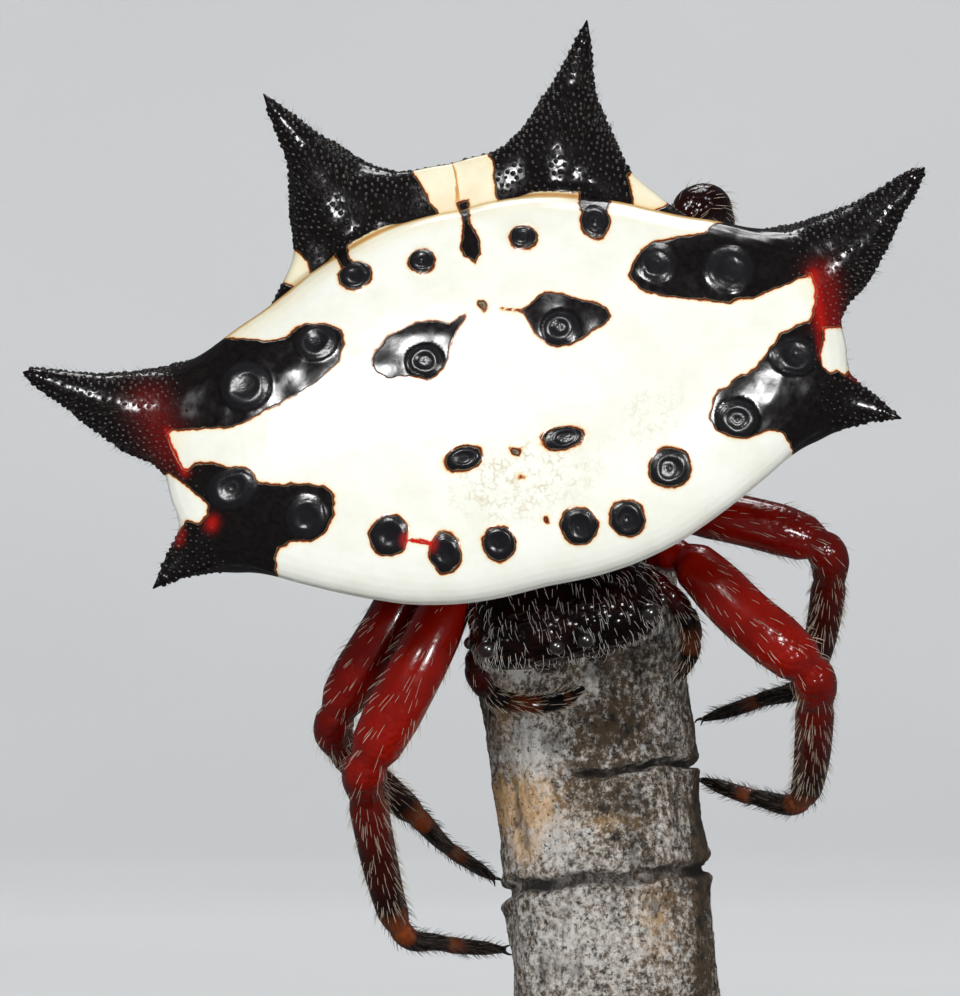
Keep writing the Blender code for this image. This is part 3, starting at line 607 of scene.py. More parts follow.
def sphere(centre, radius):
    """A round ball of quads, with tiny rings at its poles."""
    tilt = np.linspace(POLE, math.pi - POLE, BALL_LEVELS)
    points, faces = lathe(np.stack((np.sin(tilt), np.cos(tilt)), axis=-1), BALL_SIDES)
    return centre + radius * points, faces


def frames_along(spots):
    """Directions ahead, to the side and up at each point of a line, without a twist."""
    forward = unit(np.gradient(spots, axis=0))
    side = np.cross(forward[0], (0.0, -1.0, 0.0))
    sides = []
    for direction in forward:
        side = side - direction * (side @ direction)
        side = side / np.linalg.norm(side)
        sides.append(side)
    sides = np.array(sides)
    return forward, sides, np.cross(forward, sides)


def directions_round(side, up, turn):
    """Directions at each turn round each point of a line."""
    return np.cos(turn)[:, None] * side[:, None, :] + np.sin(turn)[:, None] * up[:, None, :]


def limb(spots, widths, sides):
    """Points of a closed round limb, quads, and its frames."""
    forward, side, up = frames_along(spots)
    around = directions_round(side, up, turns(sides))
    first = spots[0] - forward[0] * widths[0] * 0.5 + CAP * widths[0] * around[:1]
    last = spots[-1] + forward[-1] * widths[-1] * 0.8 + CAP * widths[-1] * around[-1:]
    rings = np.concatenate((first, spots[:, None, :] + widths[:, None, None] * around, last))
    return rings.reshape(-1, 3), tube_faces(len(rings), sides), (forward, side, up)


def add_object(name, data):
    obj = bpy.data.objects.new(name, data)
    bpy.context.scene.collection.objects.link(obj)
    return obj


def make_mesh(name, points, faces, material, values=None):
    """A smooth mesh object from points in world millimetres, faces of one size and named point values."""
    points = np.asarray(points, np.float64) * MM
    faces = np.asarray(faces, np.int32)
    mesh = bpy.data.meshes.new(name)
    mesh.vertices.add(len(points))
    mesh.vertices.foreach_set("co", points.astype(np.float32).ravel())
    mesh.loops.add(faces.size)
    mesh.loops.foreach_set("vertex_index", faces.ravel())
    mesh.polygons.add(len(faces))
    mesh.polygons.foreach_set("loop_start", np.arange(0, faces.size, faces.shape[1], dtype=np.int32))
    mesh.update(calc_edges=True)
    mesh.validate()
    mesh.shade_smooth()
    for label, data in (values or {}).items():
        mesh.attributes.new(label, "FLOAT", "POINT").data.foreach_set("value", np.asarray(data, np.float32))
    mesh.materials.append(material)
    return add_object(name, mesh)


def make_joined(name, parts, material):
    """One dark piece of several small closed parts."""
    starts = np.cumsum([0] + [len(points) for points, _ in parts])
    faces = np.vstack([quads + start for (_, quads), start in zip(parts, starts)])
    add_piece(name, np.vstack([points for points, _ in parts]), faces, material, "dark_shell")


def place(obj, slot, *nodes):
    """Lets a piece ride on the model, in place of its solids."""
    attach(obj, "root")
    if nodes:
        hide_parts(*nodes)


def add_piece(name, points, faces, material, slot, *nodes, values=None):
    """Makes a mesh of the model and places it."""
    place(make_mesh(name, points, faces, material, values), slot, *nodes)


class Shader:
    """A material with a Principled shader and short calls for the nodes that feed it."""

    def __init__(self, name, **settings):
        self.material = bpy.data.materials.new(name)
        self.material.use_nodes = True
        self.tree = self.material.node_tree
        self.shader = self.tree.nodes["Principled BSDF"]
        for label, value in settings.items():
            self.shader.inputs[label.replace("_", " ")].default_value = value

    def node(self, kind, **settings):
        made = self.tree.nodes.new(kind)
        for label, value in settings.items():
            setattr(made, label, value)
        return made

    def enter(self, socket, entry):
        """Sets a number or a colour on a socket, or links another node's output to it."""
        if isinstance(entry, tuple):
            socket.default_value = (*entry, 1.0)
        elif isinstance(entry, (int, float)):
            socket.default_value = entry
        else:
            self.tree.links.new(entry, socket)

    def feed(self, label, output):
        self.enter(self.shader.inputs[label], output)

    def value(self, label):
        return self.node("ShaderNodeAttribute", attribute_name=label).outputs["Fac"]

    def place(self):
        return self.node("ShaderNodeTexCoord").outputs["Object"]

    def math(self, operation, *entries):
        made = self.node("ShaderNodeMath", operation=operation)
        for socket, entry in zip(made.inputs, entries):
            self.enter(socket, entry)
        return made.outputs[0]

    def plus(self, first, second):
        return self.math("ADD", first, second)

    def times(self, first, second):
        return self.math("MULTIPLY", first, second)

    def scaled(self, entry, factor, shift):
        return self.math("MULTIPLY_ADD", entry, factor, shift)

    def waves(self, entry, factor, shift):
        return self.math("SINE", self.scaled(entry, factor, shift))

    def noise(self, scale, detail=3.0, roughness=0.5, lengthwise=1.0):
        """Noise of a fineness per millimetre, drawn out along Z where lengthwise is below one."""
        made = self.node("ShaderNodeTexNoise")
        spread = self.node("ShaderNodeMapping")
        spread.inputs["Scale"].default_value = (1.0, 1.0, lengthwise)
        self.enter(spread.inputs["Vector"], self.place())
        self.enter(made.inputs["Vector"], spread.outputs["Vector"])
        made.inputs["Scale"].default_value = scale / MM
        made.inputs["Detail"].default_value = detail
        made.inputs["Roughness"].default_value = roughness
        return made.outputs["Fac"]

    def wobble(self, size, *noise):
        """Noise that swings round zero over the given size."""
        return self.scaled(self.noise(*noise), size, -size / 2)

    def cells(self, scale, feature="F1"):
        made = self.node("ShaderNodeTexVoronoi", feature=feature)
        self.enter(made.inputs["Vector"], self.place())
        made.inputs["Scale"].default_value = scale / MM
        return made.outputs["Distance"]

    def domes(self, scale):
        """Round grains that stand side by side, highest in their middles."""
        away = self.cells(scale)
        return self.scaled(self.times(away, away), -1.6, 1.0)

    def ramp(self, factor, *stops):
        """Colours or greys at places along a factor."""
        made = self.node("ShaderNodeValToRGB")
        self.enter(made.inputs["Fac"], factor)
        elements = made.color_ramp.elements
        while len(elements) < len(stops):
            elements.new(0.5)
        for element, (position, colour) in zip(elements, stops):
            element.position = position
            if isinstance(colour, (int, float)):
                colour = (colour,) * 3
            element.color = (*colour, 1.0)
        return made.outputs["Color"]

    def mottle(self, noise, *stops):
        """Colours or greys that follow a noise."""
        return self.ramp(self.noise(*noise), *stops)

    def mix(self, factor, first, second, blend="MIX"):
        made = self.node("ShaderNodeMix", data_type="RGBA", blend_type=blend)
        for label, entry in (("Factor", factor), ("A", first), ("B", second)):
            self.enter(made.inputs[label], entry)
        return made.outputs["Result"]

    def bump(self, height, distance, under=None):
        """A relief of some millimetres, on top of another one where that is given."""
        made = self.node("ShaderNodeBump")
        made.inputs["Strength"].default_value = 1.0
        made.inputs["Distance"].default_value = distance * MM
        self.enter(made.inputs["Height"], height)
        if under is not None:
            self.enter(made.inputs["Normal"], under)
        return made.outputs["Normal"]


def shell_white(shader, edge):
    """Ivory with a soft net, an orange line at the plate's rim and ochre beside the black marks."""
    white = shader.mottle((1.3, 5.0, 0.65), (0.42, (0.88, 0.89, 0.81)), (0.72, (0.80, 0.80, 0.69)))
    tint = shader.mottle((2.4, 4.0, 0.6), (0.40, (0.88, 0.78, 0.45)), (0.68, (0.82, 0.58, 0.20)))
    rim = shader.times(shader.value("rim"), 0.8)
    edging = shader.ramp(rim, (0.70, 0.0), (0.775, 0.35), (0.785, 0.9), (0.80, 1.0), (0.82, 0.5))
    border = shader.ramp(rim, (0.782, 0.0), (0.791, 0.85), (0.802, 0.85), (0.808, 0.0))
    net = shader.ramp(shader.cells(11.5, "DISTANCE_TO_EDGE"), (0.0, 1.0), (0.26, 0.0))
    patches = shader.mottle((6.0, 5.0, 0.8), (0.46, 0.0), (0.62, 0.9))
    net = shader.times(net, shader.times(patches, shader.value("freckle")))
    halo = shader.ramp(edge, (0.52, 0.75), (0.555, 0.25), (0.64, 0.0))
    for share, colour in ((edging, tint), (border, RIM_ORANGE), (net, NET_BROWN), (halo, HALO_OCHRE)):
        white = shader.mix(share, white, colour)
    return white


def shell_material():
    """Glossy ivory plate with black markings in thin rust-red outlines, and black granular spines."""
    shader = Shader("abdomen_shell", IOR=1.5)
    disc = shader.value("disc")
    red = shader.value("red")
    ragged = shader.plus(shader.wobble(0.05, 9.0, 4.0, 0.6), shader.wobble(0.12, 3.6, 2.0))
    edge = shader.scaled(shader.plus(shader.value("dark"), ragged), 2.0, 0.5)
    inside = shader.ramp(edge, (0.455, 1.0), (0.482, 0.0))

    black = shader.mottle((14.0, 3.0), (0.35, (0.0030, 0.0022, 0.0022)), (0.75, (0.009, 0.006, 0.006)))
    black = shader.mix(shader.times(disc, 0.8), black, DISC_BLACK)
    black = shader.mix(red, black, GLOW_RED)
    line = shader.ramp(edge, (0.462, 0.0), (0.482, 1.0), (0.518, 1.0), (0.548, 0.0))
    rust = shader.ramp(edge, (0.48, (0.05, 0.005, 0.002)), (0.51, (0.20, 0.026, 0.005)),
                       (0.535, (0.75, 0.33, 0.06)))
    rust = shader.mix(red, rust, LINE_RED)
    coloured = shader.mix(line, shell_white(shader, edge), rust)
    shader.feed("Base Color", shader.mix(inside, coloured, black))

    rough = shader.mottle((7.0, 2.0), (0.3, 0.14), (0.7, 0.24))
    rough = shader.mix(disc, rough, (DISC_ROUGHNESS,) * 3)
    shader.feed("Roughness", shader.mix(shader.value("bead"), rough, (BEAD_ROUGHNESS,) * 3))

    ring = shader.waves(shader.value("ring"), 12.5, shader.wobble(7.0, 3.0, 3.0))
    normal = shader.bump(shader.times(shader.noise(1.4, 1.0), inside), 0.085)
    normal = shader.bump(shader.noise(5.0, 3.0), 0.003, normal)
    normal = shader.bump(shader.times(ring, disc), 0.0045, normal)
    grain = shader.times(shader.domes(11.0), shader.value("grain"))
    shader.feed("Normal", shader.bump(grain, 0.002, normal))
    return shader.material


def leg_material():
    """Mahogany red at the thigh, darker down the shin, black foot with rust rings, all darkened by the leg's
    tone, which on the fourth pair is painted shade behind the abdomen.
    """
    shader = Shader("leg_shell", IOR=1.4, Coat_Weight=0.35, Coat_Roughness=0.09)
    station = shader.math("DIVIDE", shader.value("station"), float(len(LEG_SEGMENTS)))
    station = shader.plus(station, shader.wobble(0.02, 2.0, 2.0))
    colour = shader.ramp(station, *LEG_COLOURS)
    patches = shader.mottle((1.6, 4.0, 0.6), (0.35, 0.65), (0.7, 1.1))
    colour = shader.mix(1.0, colour, patches, "MULTIPLY")
    # The tone darkens the hind legs; on the fourth pair it is painted shade
    shader.feed("Base Color", shader.mix(1.0, colour, shader.value("tone_and_shade"), "MULTIPLY"))
    shader.feed("Roughness", shader.mottle((6.0, 3.0), (0.3, 0.14), (0.75, 0.26)))
    knobbly = shader.ramp(station, (0.36, 0.0), (0.41, 1.0), (0.55, 1.0), (0.62, 0.4))
    grains = shader.bump(shader.times(shader.domes(9.0), knobbly), 0.016)
    shader.feed("Normal", shader.bump(shader.noise(10.0, 4.0, 0.6), 0.005, grains))
    return shader.material


def head_material():
    """Black-brown shell with low grains, and a redder brim."""
    shader = Shader("head_shell", IOR=1.38)
    colour = shader.mottle((2.2, 4.0, 0.6), (0.42, (0.0022, 0.001, 0.001)), (0.72, (0.014, 0.002, 0.0015)))
    shader.feed("Base Color", shader.mix(shader.value("brim"), colour, BRIM_RED))
    shader.feed("Roughness", shader.mottle((8.0, 2.0), (0.3, 0.12), (0.75, 0.24)))
    grains = shader.bump(shader.domes(7.0), 0.02)
    shader.feed("Normal", shader.bump(shader.noise(16.0, 3.0), 0.003, grains))
    return shader.material


def eye_material():
    shader = Shader("eye", Roughness=0.28, IOR=1.9, Coat_Weight=1.0, Coat_Roughness=0.16)
    colour = shader.mottle((3.0, 2.0), (0.4, (0.004, 0.003, 0.003)), (0.7, (0.02, 0.009, 0.006)))
    shader.feed("Base Color", colour)
    return shader.material


def hair_material(name, root, tip):
    """Fine bristles, from a root colour to a tip colour."""
    shader = Shader(name, Roughness=0.35, IOR=1.5)
    along = shader.plus(shader.value("along"), shader.wobble(0.2, 3.0))
    shader.feed("Base Color", shader.ramp(along, (0.0, root), (0.9, tip)))
    return shader.material


def sawn_wood(shader, grain):
    """Year rings round a dark pith, with grey grain."""
    core = shader.value("core")
    years = shader.waves(core, 26.0, shader.wobble(7.0, 1.2, 3.0))
    wood = shader.ramp(years, *WOOD_COLOURS)
    wood = shader.mix(shader.ramp(core, (0.10, 1.0), (0.17, 0.0)), wood, PITH_BROWN)
    return shader.mix(shader.ramp(grain, (0.35, 0.5), (0.55, 0.0)), wood, WOOD_GREY)


def bark_material():
    """Grey weathered bark with pale scales, ochre stains and dark pits, with painted shade in its hollows
    and cracks, down its sides and below the head.
    """
    shader = Shader("twig_bark", IOR=1.45)
    grain = shader.noise(10.5, 6.0, 0.80, 0.9)
    # The pale value also carries the painted shade down the twig's sides and the painted shadow below the
    # head
    level = shader.plus(shader.scaled(shader.value("pale"), 0.30, -0.165), shader.wobble(0.24, 1.3, 3.0))
    level = shader.plus(level, shader.scaled(grain, 1.3, -0.15))
    base = shader.ramp(level, *BARK_COLOURS)
    base = shader.mix(shader.mottle((4.2, 5.0, 0.65), (0.55, 0.0), (0.66, 0.18)), base, BARK_BROWN)
    stains = shader.times(shader.value("stain"), shader.mottle((4.5, 5.0, 0.7), (0.36, 0.0), (0.52, 1.0)))
    base = shader.mix(stains, base, shader.mix(0.58, base, STAIN_OCHRE))
    base = shader.mix(shader.mottle((13.0, 3.0, 0.6), (0.33, 0.9), (0.39, 0.0)), base, PIT_BLACK)
    # Painted shade and painted shadow darken the bark here
    base = shader.mix(shader.value("shade"), base, PAINTED_SHADE_BLACK)
    shader.feed("Base Color", shader.mix(shader.value("cut"), base, sawn_wood(shader, grain)))
    shader.feed("Roughness", shader.mottle((5.0,), (0.3, 0.65), (0.7, 0.95)))
    coarse = shader.bump(grain, 0.07)
    shader.feed("Normal", shader.bump(shader.noise(14.0, 4.0, 0.7, 0.6), 0.03, coarse))
    return shader.material


def stand_material():
    shader = Shader("stand_black", IOR=1.5)
    colour = shader.mottle((9.0, 4.0, 0.7), (0.3, (0.019, 0.019, 0.021)), (0.7, (0.026, 0.026, 0.028)))
    shader.feed("Base Color", colour)
    shader.feed("Roughness", shader.mottle((12.0, 3.0), (0.3, 0.38), (0.7, 0.46)))
    shader.feed("Normal", shader.bump(shader.noise(14.0, 3.0), 0.004))
    return shader.material


def half_outline():
    """The plate's outline as angles from the side, in rising order, and distances from the middle."""
    spots, _ = smooth_path(PLATE_OUTLINE, OUTLINE_STEPS)
    spots = spots[::-1]
    return np.arctan2(spots[:, 1], np.maximum(spots[:, 0], 0.0)), np.hypot(*spots.T)


def plan_share(s, t, outline):
    """How far out a point of the plan lies, from 0 at the middle to 1 at the plate's edge."""
    angles, distances = outline
    return np.hypot(s, t) / np.interp(np.arctan2(t, np.abs(s)), angles, distances)


def abdomen_profile():
    spots, _ = smooth_path(ABDOMEN_PROFILE, PROFILE_STEPS)
    spots[:, 0] = np.maximum(spots[:, 0], 0.0)
    return spots


def body_distance(points, profile, outline):
    """Distance to the abdomen without its spines."""
    s, t, n = points.T
    _, levels, reaches, shifts = profile[::-1].T
    rear_edge = np.interp(np.abs(s), *np.array(PLATE_OUTLINE[:REAR_POINTS]).T)
    t = t - np.interp(n, levels, shifts)
    band = np.exp(-((s - BAND_MIDDLE) / BAND_HALF_WIDTH) ** 8)
    stretch = 1 + np.interp(n, levels, reaches) * BAND_REACH / rear_edge * band
    t = np.where(t > 0, t / stretch, t)
    share = np.maximum(plan_share(s, t, outline), 1e-4)
    away = np.hypot(s, t)
    radius = away / share
    corners = [(reach * radius, level) for reach, level in profile[:, :2]]
    return outline_distance(away, n, corners, loop=False)


def spine_lines():
    """Centre lines and half widths of the three spines of a side."""
    lines = []
    for corners, radii in (SIDE_SPINE, FRONT_SPINE, REAR_SPINE):
        spots, shares = smooth_path(corners, SPINE_STEPS)
        lines.append((spots, np.interp(np.linspace(0, 1, SPINE_STEPS), shares, radii)))
    return lines


def spine_distance(points, line):
    """Distance to a spine, which is a little flattened from back to belly."""
    centres, radii = line
    return chain_distance(points * (1, 1, SPINE_FLATNESS), centres * (1, 1, SPINE_FLATNESS), radii)


def black_distance(s, t, n, share):
    """Distances to the black parts, in shares of the nearest dimple, and to the red link."""
    dark = np.full(len(s), FAR)
    for side, cream in ((RIGHT_SIDE, RIGHT_CREAM), (LEFT_SIDE, LEFT_CREAM)):
        dark = np.minimum(dark, np.maximum(outline_distance(s, t, side), -outline_distance(s, t, cream)))
    for mark in MARKS:
        dark = np.minimum(dark, outline_distance(s, t, mark))
    for dot in DOTS:
        dark = np.minimum(dark, np.maximum(outline_distance(s, t, dot), -DOT_DEPTH))
    ring = np.full(len(s), NO_RING)
    for place_s, place_t, half_s, half_t in SIGILLA:
        away = np.hypot((s - place_s) / half_s, (t - place_t) / half_t)
        ring = np.minimum(ring, away)
        dark = np.minimum(dark, (away - 1) * min(half_s, half_t))
    link = outline_distance(s, t, RED_LINK, False, False)
    dark = np.minimum(dark, link - LINK_HALF_WIDTH)
    cream = np.min([outline_distance(s, t, patch) for patch in CREAM_PATCHES], axis=0)
    behind = np.maximum(np.maximum(RIM_LEVEL - n, 0.0) * 4, (share - 1.012) * 3)
    dark = np.where((behind > 0) & (t > 0.9), np.minimum(dark, np.maximum(-cream, -behind)), dark)
    level = UNDERSIDE_LEVEL + UNDERSIDE_RISE * smooth_step(2.95, 3.1, t)
    return np.minimum(dark, n - level), ring, link


def shell_markings(s, t, n, outline):
    """Point values for the shell's colours: distances to the black parts, dimples, rim and red glows."""
    share = plan_share(s, t, outline)
    dark, ring, link = black_distance(s, t, n, share)
    red = np.exp(-(link / LINK_GLOW) ** 4)
    for first_s, first_t, last_s, last_t, width, strength in RED_GLOWS:
        away = outline_distance(s, t, ((first_s, first_t), (last_s, last_t)), False, False)
        red = np.maximum(red, strength * np.exp(-(away / width) ** 2))
    rim = np.where(n > -0.75, share, 0.0) * (0.86 + 0.14 * smooth_step(-0.4, 0.8, t))
    crease = smooth_step(0.01, 0.10, np.abs(s - 0.02 - 0.03 * np.sin(6 * t)))
    rim = np.where((t > 2.93) & (n > -0.9), CREASE_RIM + (rim - CREASE_RIM) * crease, rim)
    freckle = np.zeros(len(s))
    for place_s, place_t, half_s, half_t, power, strength in FRECKLES:
        away = ((s - place_s) / half_s) ** 2 + ((t - place_t) / half_t) ** 2
        freckle = freckle + strength * np.exp(-away ** power)
    return {"dark": dark, "ring": ring, "rim": rim, "red": red, "freckle": freckle}


def add_spine_tips(points, quads, values, lines):
    """Sets a fine tapered end over each spine, where the skin's cells are too coarse for its tip."""
    for centres, radii in lines:
        first = int(np.argmax(radii < TIP_RADIUS))
        for side in (1, -1):
            tip, tip_quads, _ = limb(centres[first:] * (side, 1, 1), radii[first:] * TIP_FIT, TIP_SIDES)
            quads = np.vstack((quads, tip_quads + len(points)))
            points = np.vstack((points, tip))
            values = {label: np.concatenate((data, np.full(len(tip), TIP_VALUES[label])))
                      for label, data in values.items()}
    return points, quads, values


def build_abdomen(material):
    """One skin for the back, the belly and the six spines, with its markings as point values."""
    profile = abdomen_profile()
    outline = half_outline()
    lines = spine_lines()

    def field(points):
        whole = body_distance(points, profile, outline)
        twin = np.column_stack((np.abs(points[:, 0]), points[:, 1:]))
        for line in lines:
            whole = smooth_min(whole, spine_distance(twin, line), SPINE_BLEND)
        return whole

    points, quads, normals = fine_surface(field, ABDOMEN_BOX, ABDOMEN_CELLS)
    values = shell_markings(*points.T, outline)
    on_back = smooth_step(0.1, 0.4, normals[:, 2])
    ring = values["ring"]
    mound = DIMPLE_MOUND * (1 - smooth_step(0.80, 1.10, ring))
    pit = DIMPLE_PIT * (1 - smooth_step(0.0, 0.55, ring))
    points = points + normals * ((mound - pit) * on_back)[:, None]
    values["disc"] = (1 - smooth_step(0.9, 1.05, ring)) * on_back
    share = plan_share(points[:, 0], points[:, 1], outline)
    behind = smooth_step(1.01, 1.05, share) * (points[:, 1] > 1.0)
    on_spines = np.maximum(smooth_step(4.1, 5.0, np.abs(points[:, 0])), behind)
    values["grain"] = on_spines * (values["dark"] < -0.04)
    all_points, all_quads, all_values = add_spine_tips(points, quads, values, lines)
    add_piece("abdomen_skin", abdomen_to_world(all_points), all_quads, material,
              "ivory_plate", "abdomen", values=all_values)
    build_grains(points, normals, values, material)
    return points, normals


def build_grains(points, normals, values, material):
    """Round grains side by side on the black spines, each sunk by a third of its radius."""
    random = np.random.default_rng(GRAIN_SEED)
    candidates = np.flatnonzero(values["grain"] > random.uniform(0.05, 0.6, len(points)))
    tree = kdtree.KDTree(len(candidates))
    for candidate in candidates:
        tree.insert(points[candidate], int(candidate))
    tree.balance()
    free = np.ones(len(points), bool)
    chosen = []
    for candidate in random.permutation(candidates):
        if free[candidate]:
            chosen.append(candidate)
            for _, covered, _ in tree.find_range(points[candidate], GRAIN_SPACING):
                free[covered] = False
    chosen = np.array(chosen)
    out = normals[chosen]
    across = unit(np.cross(out, (0.31, 0.53, 0.79)))
    tilt = np.repeat(GRAIN_TILTS, GRAIN_SIDES)[:, None]
    around = directions_round(across, np.cross(out, across), np.tile(turns(GRAIN_SIDES), len(GRAIN_TILTS)))
    dome = out[:, None, :] * (np.cos(tilt) - GRAIN_SINK) + around * np.sin(tilt)
    radii = random.uniform(*GRAIN_RADII, len(chosen)) * (0.55 + 0.45 * values["grain"][chosen])
    spots = points[chosen][:, None, :] + radii[:, None, None] * dome
    quads = repeated_faces(len(GRAIN_TILTS), GRAIN_SIDES, len(chosen))
    marks = {label: np.repeat(data[chosen], dome.shape[1]) for label, data in values.items()}
    marks["bead"] = np.ones(dome.shape[0] * dome.shape[1])
    spots = abdomen_to_world(spots.reshape(-1, 3))
    add_piece("abdomen_grains", spots, quads, material, "ivory_plate", values=marks)


def build_spinnerets(material):
    """Two pairs of silk nozzles in a short collar."""
    base = np.array(SPINNERET_BASE)
    down = np.array((0.0, 0.0, -1.0))
    pieces = [(np.array((base, base + down * COLLAR_LENGTH)), COLLAR_RADII)]
    for angle in (NOZZLE_TURN, math.pi - NOZZLE_TURN, math.pi + NOZZLE_TURN, 2 * math.pi - NOZZLE_TURN):
        lean = np.array((math.cos(angle), math.sin(angle), 0.0)) * NOZZLE_LEAN
        start, end = (base + down * reach for reach in NOZZLE_REACH)
        pieces.append((np.array((start + lean * 0.8, end + lean)), NOZZLE_RADII))

    def field(points):
        whole = np.full(len(points), FAR)
        for centres, radii in pieces:
            whole = smooth_min(whole, chain_distance(points, centres, radii), NOZZLE_BLEND)
        return whole

    points, quads = surface_nets(field, (base - (0.6, 0.6, 1.2), base + (0.6, 0.6, 0.6)), SPINNERET_CELL)
    points, _ = settle(points, field)
    add_piece("spinneret_skin", abdomen_to_world(points), quads, material, "dark_shell", "spinnerets")


def build_head(material, eye_shell):
    """Head, thorax, hips and waist as one skin, with separate glossy eyes."""
    rows, _ = smooth_path(CEPHALOTHORAX, PROFILE_STEPS)
    hips = []
    for ahead, height, across, size, _ in LEG_PAIRS.values():
        centres = np.array(((ahead, across - 0.5, height), (ahead + 0.03, across + 0.12, height)))
        hips.append((centres, (0.26 * size, 0.25 * size)))
    eyes = []

    def field(points):
        ahead, across, height = points.T
        wide = np.abs(across)
        half, low, high = (np.interp(ahead, rows[:, 0], column) for column in rows[:, 1:].T)
        thick = (high - low) / 2
        upward = np.abs(height - (high + low) / 2) / thick
        share = ((wide / half) ** HEAD_SQUARENESS + upward ** HEAD_SQUARENESS) ** (1 / HEAD_SQUARENESS)
        whole = (share - 1) * np.minimum(half, thick)
        whole = np.maximum(whole, ahead - rows[-1, 0])
        whole = np.maximum(whole, rows[0, 0] - ahead)
        twin = np.column_stack((ahead, wide, height))
        for centres, radii in hips:
            whole = smooth_min(whole, chain_distance(twin, centres, radii), HIP_BLEND)
        for spot, outward, radius in eyes:
            away = np.linalg.norm(twin - spot + outward * radius * 0.3, axis=1)
            whole = smooth_min(whole, away - radius * 0.95, EYE_BLEND)
        groove = np.exp(-((ahead - 1.25 - 0.35 * wide) / 0.10) ** 2) * smooth_step(0.7, 1.1, height)
        return whole + GROOVE_DEPTH * groove

    for across, ahead, height, radius in EYES:
        spot, outward = settle(np.array(((ahead, across, height),)), field, 8)
        eyes.append((spot[0], outward[0], radius))

    points, quads, normals = fine_surface(field, HEAD_BOX, HEAD_CELLS)
    brim = smooth_step(-1.42, -1.10, -points[:, 2]) * smooth_step(2.2, 2.5, points[:, 0])
    add_piece("head_skin", head_to_world(points), quads[:, ::-1], material,
              "dark_shell", "cephalothorax", values={"brim": brim})
    balls = []
    for side in (1, -1):
        for spot, outward, radius in eyes:
            centre = (spot + outward * radius * 0.35) * (1, side, 1)
            balls.append(sphere(head_to_world(centre[None, :])[0], radius))
    make_joined("eyes", balls, eye_shell)
    return points, normals


def leg_line(leg, joints):
    """Points down a leg, the radius and the station at each, where stations count its segments."""
    ahead, height, across, size, _ = LEG_PAIRS[leg[:5]]
    side = 1 if leg.endswith("left") else -1
    hip = head_to_world([(ahead, side * across, height)])
    spots, shares = smooth_path(np.vstack((hip, joints)), LEG_STEPS)
    even = np.linspace(0, 1, LEG_STEPS)
    marks, radii, stations = [], [], []
    for number, (start, end, widths) in enumerate(LEG_SEGMENTS):
        low, high = np.interp((start, end), np.arange(len(shares)), shares)
        for share, radius in widths:
            marks.append(low + (high - low) * (0.001 + 0.998 * share))
            radii.append(radius * size)
            stations.append(number + share)
    return spots, np.interp(even, marks, radii), np.interp(even, marks, stations)


def claw(start, forward, side, up, lean):
    """A small hook at the end of a foot, leaning to one side."""
    middle = start + forward * 0.08 + side * lean * 0.03
    end = start + forward * 0.14 + side * lean * 0.05 - up * 0.05
    hook, _ = smooth_path((start, middle, end), CLAW_STEPS)
    points, faces, _ = limb(hook, np.linspace(*CLAW_RADII, CLAW_STEPS), CLAW_SIDES)
    return points, faces


def build_legs(material, claw_shell):
    """Eight legs with two claws each. Returns each leg's line, for its bristles."""
    lines = []
    claws = []
    for leg, joints in LEG_JOINTS.items():
        spots, widths, stations = leg_line(leg, joints)
        points, faces, frames = limb(spots, widths, LEG_SIDES)
        # Each leg's tone; on the fourth pair it is painted shade behind the abdomen
        values = {"station": np.repeat(np.concatenate((stations[:1], stations, stations[-1:])), LEG_SIDES),
                  "tone_and_shade": np.full(len(points), LEG_PAIRS[leg[:5]][-1])}
        add_piece(f"{leg}_skin", points, faces, material,
                  "red_leg", f"{leg}_thigh", f"{leg}_shin", f"{leg}_foot", values=values)
        lines.append((spots, widths, stations, frames))
        forward, side, up = (direction[-1] for direction in frames)
        claws += [claw(spots[-1] + side * lean * 0.03, forward, side, up, lean) for lean in (-1, 1)]
    make_joined("claws", claws, claw_shell)
    return lines


def build_mouthparts(head_shell, leg_shell):
    """Palps and jaws. Returns each palp's line, for its bristles."""
    lines = []
    even = np.linspace(0, 1, MOUTH_STEPS)
    for label, side in (("left", 1), ("right", -1)):
        corners, radii = PALPS[label]
        spots, shares = smooth_path(corners, MOUTH_STEPS)
        creases = np.exp(-((even[:, None] - PALP_CREASES) / 0.02) ** 2).sum(axis=1)
        widths = np.interp(even, shares, radii) * (1 - 0.18 * creases)
        points, faces, frames = limb(spots, widths, MOUTH_SIDES)
        stations = np.interp(np.arange(MOUTH_STEPS + 2), *PALP_STATIONS)
        values = {"station": np.repeat(stations, MOUTH_SIDES), "tone_and_shade": np.full(len(points), PALP_TONE)}
        add_piece(f"palp_{label}_skin", points, faces, leg_shell,
                  "dark_shell", f"palp_{label}", values=values)
        lines.append((spots, widths, np.linspace(3.5, 7, MOUTH_STEPS), frames))
        corners, radii = JAW
        spots, shares = smooth_path(head_to_world(np.array(corners) * (1, side, 1)), MOUTH_STEPS)
        points, faces, _ = limb(spots, np.interp(even, shares, radii), MOUTH_SIDES)
        add_piece(f"jaw_{label}_skin", points, faces, head_shell, "dark_shell", f"jaw_{label}")
    return lines


def bark_places(points, places):
    """Sum of soft round places, seen from the front."""
    total = 0.0
    for x, z, wide, high, strength in places:
        away = ((points[..., 0] - x) / wide) ** 2 + ((points[..., 2] - z) / high) ** 2
        total = total + strength * np.exp(-away)
    return total


def grid_noise(seeds, stretch, layers=0):
    """Noise at each point of a grid, with finer layers on top where they are asked for."""
    spots = [Vector(seed) for seed in (seeds * stretch).reshape(-1, 3)]
    if layers:
        values = [noise.fractal(spot, 0.7, 2.1, layers) for spot in spots]
    else:
        values = [noise.noise(spot) for spot in spots]
    return np.array(values).reshape(seeds.shape[:2])


